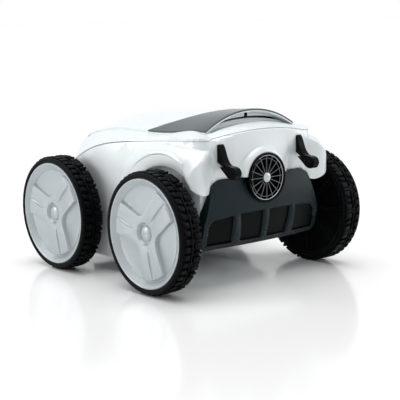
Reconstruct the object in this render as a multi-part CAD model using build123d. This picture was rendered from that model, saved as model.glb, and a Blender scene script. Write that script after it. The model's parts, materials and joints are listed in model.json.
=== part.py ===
from build123d import *
import os
from functools import cache
from math import acos, cos, pi, radians, sin, sqrt, tan

# Four-wheel robotic pool cleaner. Millimetres, +Z up, +Y the driving direction,
# +X the machine's right. The origin is on the floor under the middle of the machine.

# ---------------------------------------------------------------- driving dimensions
# Wheels and running gear
WHEELBASE = 276.0
TRACK_OUTER = 430.0          # over the outer faces of the tyres
TYRE_RADIUS = 106.0
TYRE_WIDTH = 42.7
TREAD_DEPTH = 4.6
TREAD_BLOCKS = 16
TREAD_SLOT = 5.0
TREAD_GROOVE = 3.6
TYRE_EDGE_SETBACK = 1.6      # tread blocks stop this far inside the tyre's faces
RIM_RADIUS = 94.7
RIM_WALL = 5.0
RIM_WEB = 4.0
RIM_HUB_RADIUS = 20.0
RIM_RIBS = 8
RIM_RIB_WIDTH = 3.0
HUB_CAP_THICKNESS = 3.0
HUB_CAP_LIP = 7.0
HUB_CAP_LIP_RISE = 2.0
HUB_CAP_RAISE = 4.0
HUB_CAP_DISH = 84.0
HUB_CAP_SETBACK = 1.0
SPOKE_ANGLE = 45.0           # first spoke, from straight up towards the rear
LOBE_APEX = 27.0
LOBE_HALF_ANGLE = 54.0
LOBE_CORNER = 15.0
HUB_RING_RADIUS = 19.0
HUB_DOME_RADIUS = 14.0
HUB_DOME_RISE = 5.0
SPOKE_GROOVE_LENGTH = 42.0
SPOKE_GROOVE_WIDTH = 7.0
SPOKE_GROOVE_DEPTH = 2.0
AXLE_RADIUS = 8.0
RUNNING_FIT = 0.05
SEAT_GAP = 0.3

# Gear train, one on each side
GEAR_MODULE = 3.0
PRESSURE_ANGLE = 25.0
BACKLASH = 0.5
ADDENDUM = 0.8
DEDENDUM = 1.05
WHEEL_TEETH = 26
PINION_TEETH = 12
IDLER_REAR_TEETH = 25
GEAR_WIDTH = 8.0
GEAR_INNER_X = 122.0
BRUSH_MESH_PITCHES = 4       # the brush pinion sits this many wheel-gear teeth below the level line
IDLER_PIN_RADIUS = 5.0
MOTOR_SHAFT_RADIUS = 4.0
GEAR_PLATE_X = 108.0
GEAR_PLATE_THICKNESS = 4.0
GEAR_PLATE_MARGIN = 8.0
BUSH_RADIUS = 12.0

# Body
WALL = 4.0
BELLY_Z = 26.0
TAIL_SWEEP_Y = -24.0
NOSE_SWEEP_Y = 196.0
NOSE_LOW_Z = 62.0
CUT_REACH = 20.0               # cutting forms run this far past the casing
TUB_JOINT_Z = 111.0
BODY_REAR_Y = -204.0
BODY_REAR_CORNER_Y = -194.0
BODY_FRONT_Y = 238.0
BODY_FRONT_CORNER_Y = 222.0
BODY_REAR_HALF = 134.0
BODY_FRONT_HALF = 136.0
BODY_MAX_HALF = 160.0
REAR_CORNER = 26.0
FRONT_CORNER = 48.0
SEAM_GAP = 0.8
DECK_LIP = 8.0
SHOULDER_WIDTH = 9.0
SHOULDER_RISE = 8.0
FLANK_TAPER = 6.0              # the flank's foot stands this far in from its widest line
SEAM_ARCH_RISE = 12.0
SEAM_ARCH_HALF = 118.0
SEAM_ARCH_Y = -160.0

# Lid over the filter well
LID_HALF = 104.0
LID_REAR_Y = -175.0
LID_FRONT_Y = 163.5
LID_EDGE = 5.5
WINDOW_THICKNESS = 3.0
WINDOW_FRAME = 12.0
CRESCENT_INSET = 13.0
HINGE_Y = 167.0
HINGE_Z = 256.0
HINGE_PIN_RADIUS = 2.5
HINGE_KNUCKLE = 5.0
HINGE_X = 34.0
HINGE_LUG = 14.0
EYE_WIDTH = 5.0
EYE_GAP = 0.5
CRESCENT_LIFT = 4.5
DECK_FRONT_EDGE_Y = 172.5
FLANGE = 3.0
WELL_WALL = 2.4
LID_SEAT_DEPTH = 7.0
LID_CLEARANCE = 0.4
RECESS_FLOOR_Z = 274.0
RECESS_SIDE_Z = 262.0
WELL_RIM_Z = 240.0
WELL_HALF = 94.0
WELL_REAR_Y = -146.0
WELL_FRONT_Y = 150.0
LATCH_WIDTH = 6.0
LATCH_HEIGHT = 9.4
LATCH_Z = 292.0
LATCH_LENGTH = 12.0
LATCH_PROUD = 1.5
LATCH_TRAVEL = 3.0

# Rear end
OUTLET_Z = 186.3
OUTLET_RADIUS = 43.5
OUTLET_FACE_Y = -218.0
OUTLET_RING_WALL = 4.0
DUCT_RADIUS = 38.0
DUCT_WALL = 2.5
DUCT_FRONT_Y = -146.0
STAY_LENGTH = 6.0
BEZEL_BACK_Y = -200.0
GRILLE_SETBACK = 3.0
GRILLE_DEPTH = 3.0
GRILLE_INNER_SHARE = 0.84
GRILLE_RING = 1.4
GRILLE_SPOKES = 16
GRILLE_SPOKE_WIDTH = 1.2
GRILLE_HUB_RADIUS = 6.0
COWL_RADIUS = 61.0
COWL_NECK = 49.0
COWL_BACK_Y = -197.0
COWL_FACE_Y = -214.0
COWL_ROOT = 8.0
BUMPER_TOP_Z = 191.0
BUMPER_BOTTOM_Z = 72.0
BUMPER_TOP_HALF = 106.0
BUMPER_BOTTOM_HALF = 138.0
BUMPER_CORNER = 28.0
BUMPER_SEAT_Y = -187.0
BUMPER_SKIN_Y = -197.0
BUMPER_BOW = 10.0
POCKET_TOP_Z = 131.0
POCKET_DEPTH = 6.0
POCKET_RIB = 12.0
FOOT_X = 93.0
FOOT_WIDTH = 13.0
FOOT_TOE_Y = -244.5
FOOT_HEEL_Y = -197.5

# Inside
FILTER_HALF = 86.0
FILTER_REAR_Y = -24.0
FILTER_FRONT_Y = 116.0
FILTER_BOTTOM_Z = 66.0
FILTER_TOP_Z = 236.0
FILTER_POST = 9.0
FILTER_BAND = 10.0
CAGE_WALL = 3.0
CAGE_FLOOR = 4.0
MESH_THICKNESS = 1.6
MOUTH_HALF = 48.0
MOUTH_Y = 46.0
MOUTH_LENGTH = 44.0
BRUSH_RADIUS = 44.0
BRUSH_SHAFT_RADIUS = 6.0
BAY_HALF = 103.5
BAY_WALL = 3.0
BAY_CLEARANCE = 4.0
HANGER_PIN = 18.0
HANGER_REACH = 9.0
SCREW_RADIUS = 2.0
BRUSH_CORE_RADIUS = 15.0
BRUSH_BLADES = 6
BLADE_THICKNESS = 2.8
SLEEVE_WALL = 2.5
BRUSH_INNER_X = 6.0
BRUSH_OUTER_X = 102.0
PUMP_RADIUS = 30.0
DRIVE_MOTOR_RADIUS = 31.0
PROPELLER_RADIUS = 35.5
PROPELLER_BLADES = 4
PROPELLER_REAR_Y = -192.0
PROPELLER_LENGTH = 22.0
PROPELLER_HUB_RADIUS = 9.0
MOTOR_REAR_Y = -136.0
MOTOR_FRONT_Y = -40.0
MOTOR_HALF = 98.0
MOTOR_CASE_HALF = 52.0
MOTOR_CASE_REACH = 34.0
MOTOR_FINS = 5
FIN_PITCH = 9.0
FIN_SIZE = 3.0
POST_X = 40.0
POST_RADIUS = 7.0
SHAFT_GRIP = 14.0
PINION_SHAFT_X = 88.0
BUSH_INNER_X = 138.0
BUSH_OUTER_X = 166.0
HANDLE_HALF = 38.0
HANDLE_BAR = 4.0               # half the bow's width across its legs
HANDLE_LUG = 9.0
COVER_THICKNESS = 4.0
HANDLE_RISE = 17.0
PLATE_HALF = 92.0
PLATE_REACH = 68.0
PLATE_THICKNESS = 5.0
PLATE_CORNER = 14.0
THROAT_WALL = 3.0
SCREW_HEAD_RADIUS = 4.0
SCREW_HEAD_DEPTH = 2.5
SCREW_SEAT_Z = 24.0
FLAP_HINGE_Y = 30.0
FLAP_MARGIN = 5.0
FLAP_THICKNESS = 2.4
FLAP_Z = 60.0
FLAP_PIN_RADIUS = 1.6
FLAP_PIN_REACH = 3.0
GLAND_PROUD = 5.0
GLAND_DEPTH = 14.0
GLAND_NUT = 11.0
FLOAT_INNER_X = 112.3
FLOAT_OUTER_X = 134.0
FLOAT_REAR_Y = -110.0
FLOAT_FRONT_Y = 30.0
FLOAT_LOW_Z = 168.0
FLOAT_TOP_Z = 214.0
GLAND_BORE = 5.2
GLAND_X = -64.0
GLAND_Z = 132.0
GLAND_THREAD = 8.0

# Stations of the body's upper form, rear to front:
# y, half width, crest x, centre z, crest z, seam z
BODY_STATIONS = [
    (-214.0, 132.0, 104.0, 262.0, 251.0, 246.0),
    (-178.0, 139.0, 104.0, 280.0, 265.5, 257.0),
    (-80.0, 149.0, 104.0, 282.0, 262.0, 251.0),
    (0.0, 152.0, 104.0, 281.0, 259.5, 244.0),
    (60.0, 152.0, 104.0, 279.0, 259.5, 234.5),
    (115.0, 151.0, 104.0, 273.0, 253.5, 217.0),
    (165.0, 147.0, 102.0, 262.0, 242.5, 192.0),
    (200.0, 138.0, 96.0, 243.0, 226.0, 173.0),
    (228.0, 126.0, 86.0, 219.0, 204.0, 158.0),
    (246.0, 112.0, 76.0, 196.0, 184.0, 148.0),
]
# Stations of the lid: y, centre z, edge z
LID_STATIONS = [
    (LID_REAR_Y, 303.0, 272.0),
    (-90.0, 297.6, 266.5),
    (-10.0, 292.3, 263.5),
    (50.0, 287.8, 263.5),
    (95.0, 283.0, 259.8),
    (135.0, 275.0, 252.0),
    (HINGE_Y, 262.6, 243.2),
]

# Stations of the bumper's face, bottom to top: z, y of the face in the middle
BUMPER_STATIONS = [
    (BUMPER_BOTTOM_Z - 2.0, -200.0),
    (92.0, -209.0),
    (125.0, -215.0),
    (160.0, -212.0),
    (BUMPER_TOP_Z + 4.0, -205.0),
]
# Stations of a rear fender: y, top z at its root, knee (x, z), brow (x, z), lip (x, z), lip depth
FENDER_STATIONS = [
    (-210.0, 242.0, (139.0, 231.5), (158.0, 214.0), (164.0, 197.0), 26.0),
    (-188.0, 247.0, (146.0, 240.0), (163.0, 228.0), (167.5, 212.0), 16.0),
    (-165.0, 250.0, (150.0, 247.5), (165.0, 241.0), (169.0, 231.0), 5.0),
    (-138.0, 250.5, (150.0, 249.0), (165.0, 244.0), (169.0, 236.5), 4.0),
    (-108.0, 249.5, (150.0, 248.5), (165.0, 242.0), (169.0, 233.5), 4.0),
    (-78.0, 247.0, (150.0, 245.0), (165.0, 234.0), (169.0, 222.0), 4.0),
    (-50.0, 240.0, (150.0, 237.0), (164.0, 220.0), (168.0, 202.0), 4.0),
    (-22.0, 230.0, (150.0, 224.0), (161.0, 201.0), (165.0, 176.0), 4.0),
    (12.0, 206.0, (138.0, 192.0), (143.0, 168.0), (144.0, 145.0), 4.0),
]
FENDER_TAIL = [(96.0, -196.0), (134.0, -205.5), (152.0, -208.0), (164.0, -201.0), (172.0, -180.0)]
FENDER_FRONT_Y = 40.0
# Boot-shaped support foot: (y, z) from its heel in the wall over the toe and back to the wall
FOOT_OUTLINE = [
    (FOOT_HEEL_Y, 250.8), (-203.0, 247.0), (-208.0, 235.5), (-214.0, 223.5), (-222.0, 217.0),
    (-231.5, 216.0), (-240.5, 213.0), (FOOT_TOE_Y, 205.5), (-241.5, 198.0), (-234.0, 194.5), (-225.5, 196.5),
    (-216.0, 203.5), (-205.5, 214.0), (FOOT_HEEL_Y, 222.5),
]
# Belly screws: (x, y)
SCREW_PLACES = [(x, y) for x in (-76.0, 76.0) for y in (-10.0, 46.0, 102.0)]
# Window's front edge from its middle outwards: (x, y)
WINDOW_FRONT = [(0.0, -120.0), (34.0, -104.0), (68.0, -70.0), (LID_HALF, -17.0)]

# ---------------------------------------------------------------- derived sizes
AXLE_Z = TYRE_RADIUS
REAR_AXLE_Y = -WHEELBASE / 2
FRONT_AXLE_Y = WHEELBASE / 2
TYRE_OUTER_X = TRACK_OUTER / 2
TYRE_INNER_X = TYRE_OUTER_X - TYRE_WIDTH
HUB_CAP_BACK_X = (TYRE_OUTER_X - HUB_CAP_SETBACK - HUB_CAP_LIP_RISE - HUB_CAP_RAISE
                  - HUB_CAP_THICKNESS)
WHEEL_GEAR_R = GEAR_MODULE * WHEEL_TEETH / 2
PINION_R = GEAR_MODULE * PINION_TEETH / 2
IDLER_REAR_R = GEAR_MODULE * IDLER_REAR_TEETH / 2
IDLER_FRONT_R = WHEELBASE / 2 - WHEEL_GEAR_R - PINION_R - IDLER_REAR_R
IDLER_FRONT_TEETH = round(2 * IDLER_FRONT_R / GEAR_MODULE)
PINION_Y = REAR_AXLE_Y + WHEEL_GEAR_R + PINION_R
IDLER_REAR_Y = PINION_Y + PINION_R + IDLER_REAR_R
IDLER_FRONT_Y = IDLER_REAR_Y + IDLER_REAR_R + IDLER_FRONT_R
BRUSH_ANGLE = -BRUSH_MESH_PITCHES * 360.0 / WHEEL_TEETH
BRUSH_REACH = WHEEL_GEAR_R + PINION_R
BRUSH_Y = FRONT_AXLE_Y + BRUSH_REACH * cos(radians(BRUSH_ANGLE))
BRUSH_Z = AXLE_Z + BRUSH_REACH * sin(radians(BRUSH_ANGLE))
BODY_TOP_Z = 330.0

os.makedirs("parts", exist_ok=True)


# ---------------------------------------------------------------- helpers
def save(name, shape, colour):
    """Write one sub-part to its own STEP file."""
    shape.label = name
    shape.color = Color(*colour)
    export_step(shape, f"parts/{name}.step")


def joined(shapes):
    """A group of separate solids in one node."""
    return Compound(children=list(shapes))


def box(x0, x1, y0, y1, z0, z1):
    """Box between its low and high corners."""
    return Pos((x0 + x1) / 2, (y0 + y1) / 2, (z0 + z1) / 2) * Box(x1 - x0, y1 - y0, z1 - z0)


def slab(z0, z1):
    """Everything between two levels, wider than the casing all round."""
    reach = BODY_MAX_HALF + CUT_REACH
    return box(-reach, reach, FOOT_TOE_Y - CUT_REACH, BODY_FRONT_Y + CUT_REACH, z0, z1)


def rod_x(x0, x1, y, z, radius):
    """Cylinder along X."""
    return Pos((x0 + x1) / 2, y, z) * Rot(0, 90, 0) * Cylinder(radius, abs(x1 - x0))


def rod_y(y0, y1, x, z, radius):
    """Cylinder along Y."""
    return Pos(x, (y0 + y1) / 2, z) * Rot(90, 0, 0) * Cylinder(radius, abs(y1 - y0))


def rod_z(z0, z1, x, y, radius):
    """Cylinder along Z."""
    return Pos(x, y, (z0 + z1) / 2) * Cylinder(radius, z1 - z0)


def side_profile(points, x0, x1):
    """Polygon of (y, z) points, extruded along X."""
    face = make_face(Polyline([(0, y, z) for y, z in points], close=True))
    return Pos(x0, 0, 0) * extrude(face, x1 - x0, dir=(1, 0, 0))


def mirrored(shape):
    """The same piece on the machine's other side."""
    return mirror(shape, Plane.YZ)


def gear_face(teeth, phase):
    """Gear outline about the origin of the YZ plane: straight-chord involute flanks."""
    pitch_r = GEAR_MODULE * teeth / 2
    base_r = pitch_r * cos(radians(PRESSURE_ANGLE))
    root_r = pitch_r - DEDENDUM * GEAR_MODULE
    tip_r = pitch_r + ADDENDUM * GEAR_MODULE
    radii = (root_r, pitch_r, tip_r) if teeth <= PINION_TEETH else (root_r, tip_r)

    def involute(radius):
        angle = acos(min(1.0, base_r / radius))
        return tan(angle) - angle

    def half_angle(radius):
        thickness = pi * GEAR_MODULE / 2 - BACKLASH / 2
        return thickness / 2 / pitch_r + involute(pitch_r) - involute(radius)

    points = []
    for tooth in range(teeth):
        centre = radians(phase) + 2 * pi * tooth / teeth
        flank = [(r, half_angle(r)) for r in radii]
        turns = [(r, centre - a) for r, a in flank] + [(r, centre + a) for r, a in reversed(flank)]
        points += [(0, r * cos(a), r * sin(a)) for r, a in turns]
    return make_face(Polyline(points, close=True))


def gear(teeth, phase, y, z):
    """Spur gear on the right-hand side."""
    blank = extrude(gear_face(teeth, phase), GEAR_WIDTH, dir=(1, 0, 0))
    return Pos(GEAR_INNER_X, y, z) * blank


def lightened(blank, teeth, y, z, web_ring):
    """Sunk web between a gear's hub and its rim, as moulded gears have."""
    rim_r = GEAR_MODULE * teeth / 2 - DEDENDUM * GEAR_MODULE - web_ring
    hub_r = IDLER_PIN_RADIUS + web_ring
    depth = GEAR_WIDTH / 3
    far_x = GEAR_INNER_X + GEAR_WIDTH
    for x0, x1 in ((GEAR_INNER_X, GEAR_INNER_X + depth), (far_x - depth, far_x)):
        blank -= rod_x(x0, x1, y, z, rim_r) - rod_x(x0, x1, y, z, hub_r)
    return blank


def axle_gear(y):
    """Wheel gear and stub axle in one moulding."""
    web_ring = 5.0
    blank = lightened(gear(WHEEL_TEETH, 0, y, AXLE_Z), WHEEL_TEETH, y, AXLE_Z, web_ring)
    inner_end = GEAR_PLATE_X + GEAR_PLATE_THICKNESS + SEAT_GAP
    outer_end = HUB_CAP_BACK_X - SEAT_GAP
    return blank + rod_x(inner_end, outer_end, y, AXLE_Z, AXLE_RADIUS)


def idler(teeth, y):
    """Idler turning on a fixed pin; a tooth points to the rear."""
    web_ring = 5.0
    blank = lightened(gear(teeth, 180, y, AXLE_Z), teeth, y, AXLE_Z, web_ring)
    bore = rod_x(GEAR_INNER_X, GEAR_INNER_X + GEAR_WIDTH, y, AXLE_Z, IDLER_PIN_RADIUS + RUNNING_FIT)
    return blank - bore


def motor_pinion():
    """Pinion and its motor shaft."""
    half_tooth = 180.0 / PINION_TEETH
    return gear(PINION_TEETH, half_tooth, PINION_Y, AXLE_Z) + rod_x(
        PINION_SHAFT_X, GEAR_INNER_X, PINION_Y, AXLE_Z, MOTOR_SHAFT_RADIUS)


# ---------------------------------------------------------------- wheels
def tyre(y):
    """Tyre with two rows of tread blocks and a round bead seat."""
    base_r = TYRE_RADIUS - TREAD_DEPTH
    middle_x = (TYRE_INNER_X + TYRE_OUTER_X) / 2
    shoulder = 2.5
    section = [
        (TYRE_INNER_X, RIM_RADIUS + SEAT_GAP), (TYRE_INNER_X, base_r - shoulder),
        (TYRE_INNER_X + shoulder, base_r), (TYRE_OUTER_X - shoulder, base_r),
        (TYRE_OUTER_X, base_r - shoulder), (TYRE_OUTER_X, RIM_RADIUS + SEAT_GAP),
    ]
    face = make_face(Polyline([(x, 0, r) for x, r in section], close=True))
    carcass = revolve(face, Axis.X, 360)

    sink = 1.0
    slots = [
        Rot(360.0 * (n + 0.5 * (row > 0)) / TREAD_BLOCKS, 0, 0)
        * Pos(middle_x + row * TYRE_WIDTH / 4, 0, TYRE_RADIUS)
        * Rot(0, 0, row * 12) * Box(TYRE_WIDTH / 2 + shoulder, TREAD_SLOT, 2 * TREAD_DEPTH + sink)
        for n in range(TREAD_BLOCKS) for row in (-1, 1)
    ]
    outer_x = TYRE_OUTER_X - TYRE_EDGE_SETBACK
    inner_x = TYRE_INNER_X + TYRE_EDGE_SETBACK
    band = rod_x(inner_x, outer_x, 0, 0, TYRE_RADIUS) - rod_x(inner_x, outer_x, 0, 0, base_r - sink)
    groove = rod_x(middle_x - TREAD_GROOVE / 2, middle_x + TREAD_GROOVE / 2, 0, 0, TYRE_RADIUS + sink)
    band -= groove
    band -= slots
    return Pos(0, y, AXLE_Z) * (carcass + band)


def rim(y):
    """Black wheel body: barrel, web, hub and the ribs of its inner face."""
    inner_x = TYRE_INNER_X + TYRE_EDGE_SETBACK
    outer_x = HUB_CAP_BACK_X
    web_x = inner_x + (outer_x - inner_x) / 2
    section = [
        (inner_x, RIM_RADIUS - RIM_WALL), (inner_x, RIM_RADIUS), (outer_x, RIM_RADIUS),
        (outer_x, RIM_RADIUS - RIM_WALL), (web_x + RIM_WEB, RIM_RADIUS - RIM_WALL),
        (web_x + RIM_WEB, RIM_HUB_RADIUS), (outer_x, RIM_HUB_RADIUS),
        (outer_x, AXLE_RADIUS + RUNNING_FIT), (inner_x, AXLE_RADIUS + RUNNING_FIT),
        (inner_x, RIM_HUB_RADIUS), (web_x, RIM_HUB_RADIUS), (web_x, RIM_RADIUS - RIM_WALL),
    ]
    face = make_face(Polyline([(x, 0, r) for x, r in section], close=True))
    body = revolve(face, Axis.X, 360)
    rib_x0 = inner_x + RIM_WALL
    rib_r0, rib_r1 = RIM_HUB_RADIUS - 1.0, RIM_RADIUS - RIM_WALL + 1.0
    rib = box(rib_x0, web_x + 1.0, -RIM_RIB_WIDTH / 2, RIM_RIB_WIDTH / 2, rib_r0, rib_r1)
    body += [Rot(360.0 * n / RIM_RIBS, 0, 0) * rib for n in range(RIM_RIBS)]
    return Pos(0, y, AXLE_Z) * body


def lobe_face(x):
    """Flat panel between two spokes of the hub cap; its direction is straight up."""
    reach = 2 * HUB_CAP_DISH
    side = tan(radians(LOBE_HALF_ANGLE)) * (reach - LOBE_APEX)
    wedge = make_face(Polyline([(x, 0, LOBE_APEX), (x, side, reach), (x, -side, reach)], close=True))
    wedge = fillet(wedge.vertices().sort_by(Axis.Z)[0], LOBE_CORNER)
    disc = Pos(x, 0, 0) * Rot(0, 90, 0) * Circle(HUB_CAP_DISH)
    return wedge & disc


def hub_cap(y):
    """Silver wheel cover: lip, three broad spokes with slim grooves, and a domed hub."""
    face_x = TYRE_OUTER_X - HUB_CAP_SETBACK
    spoke_x = face_x - HUB_CAP_LIP_RISE
    floor_x = spoke_x - HUB_CAP_RAISE
    lip_r = RIM_RADIUS - SEAT_GAP
    lip = rod_x(HUB_CAP_BACK_X, face_x, 0, 0, lip_r)
    lip -= rod_x(HUB_CAP_BACK_X, face_x, 0, 0, lip_r - HUB_CAP_LIP)
    cap = rod_x(HUB_CAP_BACK_X, spoke_x, 0, 0, lip_r) + lip
    lobe = extrude(lobe_face(floor_x), HUB_CAP_RAISE, dir=(1, 0, 0))
    groove_r = SPOKE_GROOVE_LENGTH ** 2 / (4 * SPOKE_GROOVE_WIDTH) + SPOKE_GROOVE_WIDTH / 4
    groove_mid = (HUB_RING_RADIUS + HUB_CAP_DISH) / 2
    offset_y = groove_r - SPOKE_GROOVE_WIDTH / 2
    groove_floor = spoke_x - SPOKE_GROOVE_DEPTH
    lens = rod_x(groove_floor, face_x, offset_y, groove_mid, groove_r) & rod_x(
        groove_floor, face_x, -offset_y, groove_mid, groove_r)
    for n in range(3):
        spoke = SPOKE_ANGLE + 120.0 * n
        cap -= Rot(spoke + 60.0, 0, 0) * lobe
        cap -= Rot(spoke, 0, 0) * lens
    cap -= rod_x(floor_x, face_x, 0, 0, HUB_RING_RADIUS)
    sphere_r = (HUB_DOME_RADIUS ** 2 + HUB_DOME_RISE ** 2) / (2 * HUB_DOME_RISE)
    dome = Pos(floor_x + HUB_DOME_RISE - sphere_r, 0, 0) * Sphere(sphere_r)
    cap += dome & rod_x(floor_x - 1.0, face_x, 0, 0, HUB_DOME_RADIUS + 1.0)
    return Pos(0, y, AXLE_Z) * cap


# ---------------------------------------------------------------- body form
def body_section(station, inset):
    """Closed outline of the body across the machine at one station."""
    y, half, crest_x, top, crest, seam = station
    low = BELLY_Z + inset
    half -= inset
    top -= inset
    crest -= inset
    seam -= inset

    def at(x, z):
        return Vector(x, y, z)

    def flank(sign):
        foot, high = at(sign * (half - FLANK_TAPER), low), at(sign * half, seam)
        mid = at(sign * half, low + 10 * WALL)
        knee = at(sign * (half - SHOULDER_WIDTH), seam + SHOULDER_RISE)
        crest_point = at(sign * crest_x, crest)
        side = Edge.make_spline([foot, mid, high])
        shoulder = Edge.make_spline([high, at(sign * (half - 2.5), seam + 4.5), knee])
        slope = Edge.make_line(knee, crest_point)
        return [side, shoulder, slope]

    right, left = flank(1), flank(-1)
    arch = Edge.make_three_point_arc(at(crest_x, crest), at(0, top), at(-crest_x, crest))
    base = Edge.make_line(at(-(half - FLANK_TAPER), low), at(half - FLANK_TAPER, low))
    return Wire(right + [arch] + left + [base])


def plan_face(inset):
    """Outline of the body seen from above."""
    corners = [
        Line((-BODY_REAR_HALF, BODY_REAR_CORNER_Y), (-BODY_MAX_HALF, WHEELBASE / 4)),
        Line((-BODY_MAX_HALF, WHEELBASE / 4), (-BODY_FRONT_HALF, BODY_FRONT_CORNER_Y)),
        ThreePointArc((-BODY_FRONT_HALF, BODY_FRONT_CORNER_Y), (0, BODY_FRONT_Y),
                      (BODY_FRONT_HALF, BODY_FRONT_CORNER_Y)),
        Line((BODY_FRONT_HALF, BODY_FRONT_CORNER_Y), (BODY_MAX_HALF, WHEELBASE / 4)),
        Line((BODY_MAX_HALF, WHEELBASE / 4), (BODY_REAR_HALF, BODY_REAR_CORNER_Y)),
        ThreePointArc((BODY_REAR_HALF, BODY_REAR_CORNER_Y), (0, BODY_REAR_Y),
                      (-BODY_REAR_HALF, BODY_REAR_CORNER_Y)),
    ]
    face = make_face(corners)
    by_y = face.vertices().sort_by(Axis.Y)
    face = fillet(by_y[:2], REAR_CORNER)
    face = fillet(face.vertices().sort_by(Axis.Y)[-2:], FRONT_CORNER)
    return offset(face, -inset) if inset else face


@cache
def envelope(inset):
    """The body's whole outer form, brought in by a distance."""
    form = Solid.make_loft([body_section(station, inset) for station in BODY_STATIONS])
    return form & extrude(plan_face(inset), BODY_TOP_Z)


def belly_sweeps(grow):
    """Wedges under the tail and the nose, where the belly sweeps up."""
    low_z = BELLY_Z - 1
    tail_y, nose_y = BUMPER_SEAT_Y - CUT_REACH, BODY_FRONT_Y + CUT_REACH
    tail_z, nose_z = BUMPER_BOTTOM_Z + grow, NOSE_LOW_Z + grow
    tail = [(TAIL_SWEEP_Y + grow, low_z), (TAIL_SWEEP_Y + grow / 2, BELLY_Z + grow),
            (BUMPER_SEAT_Y, tail_z), (tail_y, tail_z), (tail_y, low_z)]
    nose = [(NOSE_SWEEP_Y - grow, low_z), (NOSE_SWEEP_Y - grow / 2, BELLY_Z + grow),
            (BODY_FRONT_Y, nose_z), (nose_y, nose_z), (nose_y, low_z)]
    reach = BODY_MAX_HALF + CUT_REACH
    return side_profile(tail, -reach, reach) + side_profile(nose, -reach, reach)


def below_seam(drop):
    """Everything under the seam between the side shell and the top deck."""
    seam = [(y, seam_z) for y, _, _, _, _, seam_z in BODY_STATIONS]
    rear = (BODY_STATIONS[0][0] - CUT_REACH, seam[1][1])
    front = (BODY_STATIONS[-1][0] + CUT_REACH, seam[-1][1] - CUT_REACH / 2)
    line = [Vector(0, y, z - drop) for y, z in [rear] + seam[1:] + [front]]
    top = Edge.make_spline(line)
    floor_left, floor_right = Vector(0, line[0].Y, 0), Vector(0, line[-1].Y, 0)
    face = Face(Wire([
        top, Edge.make_line(line[-1], floor_right), Edge.make_line(floor_right, floor_left),
        Edge.make_line(floor_left, line[0]),
    ]))
    reach = BODY_MAX_HALF + CUT_REACH
    sides = Pos(-reach, 0, 0) * extrude(face, 2 * reach, dir=(1, 0, 0))
    half, edge_z = SEAM_ARCH_HALF, seam[1][1] - drop
    arch = make_face([
        ThreePointArc((-half, edge_z), (0, edge_z + SEAM_ARCH_RISE), (half, edge_z)),
        Line((half, edge_z), (half, 0)), Line((half, 0), (-half, 0)), Line((-half, 0), (-half, edge_z)),
    ])
    return sides + extruded_back(arch, SEAM_ARCH_Y, BODY_REAR_Y - CUT_REACH)


def fender_section(station, hand):
    """Closed outline of a rear fender across the machine."""
    y, root_z, knee, brow, lip, depth = station
    root_x = BODY_REAR_HALF - REAR_CORNER

    def at(x, z):
        return Vector(hand * x, y, z)

    over = Edge.make_spline([at(root_x, root_z), at(*knee), at(*brow), at(*lip)])
    lip_x, lip_z = lip
    under_z = lip_z - depth
    under = Edge.make_spline([
        at(*lip), at(lip_x - 4.5, lip_z - 0.55 * depth), at(lip_x - 22, under_z + 0.04 * depth),
        at(root_x, under_z),
    ])
    return Wire([over, under, Edge.make_line(at(root_x, under_z), at(root_x, root_z))])


def fenders():
    """Flared arches over the rear wheels, rounded off behind."""
    arms = []
    for hand in (1, -1):
        form = Solid.make_loft([fender_section(station, hand) for station in FENDER_STATIONS])
        tail = Spline([(hand * x, y) for x, y in FENDER_TAIL])
        (inner_x, _), (outer_x, _) = FENDER_TAIL[0], FENDER_TAIL[-1]
        front = [(hand * outer_x, FENDER_FRONT_Y), (hand * inner_x, FENDER_FRONT_Y)]
        plan = make_face([tail, Line(tail @ 1, front[0]), Line(*front), Line(front[1], tail @ 0)])
        arms.append(form & extrude(plan, BODY_TOP_Z))
    return arms


def cowl():
    """Hood that swells out round the upper half of the water outlet."""
    length = COWL_BACK_Y - COWL_FACE_Y
    hood = Pos(0, COWL_BACK_Y, OUTLET_Z) * Rot(90, 0, 0) * Pos(0, 0, length / 2) * Cone(
        COWL_RADIUS, COWL_NECK, length)
    hood += rod_y(COWL_BACK_Y, COWL_BACK_Y + COWL_ROOT, 0, OUTLET_Z, COWL_RADIUS)
    return hood & box(-COWL_RADIUS, COWL_RADIUS, COWL_FACE_Y, 0, BUMPER_TOP_Z + SEAM_GAP, BODY_TOP_Z)


def bumper_outline(grow):
    """Bumper seen from behind, upright: narrow at the top, wide at the bottom."""
    face = make_face(Polyline([
        (-BUMPER_BOTTOM_HALF, BUMPER_BOTTOM_Z), (BUMPER_BOTTOM_HALF, BUMPER_BOTTOM_Z),
        (BUMPER_BOTTOM_HALF - 2, BUMPER_BOTTOM_Z + 46), (BUMPER_TOP_HALF + 6, BUMPER_TOP_Z),
        (-BUMPER_TOP_HALF - 6, BUMPER_TOP_Z), (-BUMPER_BOTTOM_HALF + 2, BUMPER_BOTTOM_Z + 46),
    ], close=True))
    corners = face.vertices().sort_by(Axis.Y)
    face = fillet(corners[:2], BUMPER_CORNER / 2)
    face = fillet(face.vertices().sort_by(Axis.Y)[-2:], BUMPER_CORNER)
    return offset(face, grow) if grow else face


def extruded_back(face, y_front, y_back):
    """Upright face in X and Z, extruded from y_front to the rear."""
    return Pos(0, y_front, 0) * (Plane.XZ * extrude(face, y_front - y_back))


def bumper_form(inset):
    """Bowed face of the bumper as one closed form."""
    half = BUMPER_BOTTOM_HALF + 2
    back = BUMPER_SEAT_Y + 2 * BUMPER_BOW

    def section(z, face_y):
        mid, side = face_y + inset, face_y + BUMPER_BOW + inset
        arc = Edge.make_three_point_arc(Vector(-half, side, z), Vector(0, mid, z), Vector(half, side, z))
        return Wire([
            arc, Edge.make_line((half, side, z), (half, back, z)),
            Edge.make_line((half, back, z), (-half, back, z)),
            Edge.make_line((-half, back, z), (-half, side, z)),
        ])

    return Solid.make_loft([section(z, y) for z, y in BUMPER_STATIONS])


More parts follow.
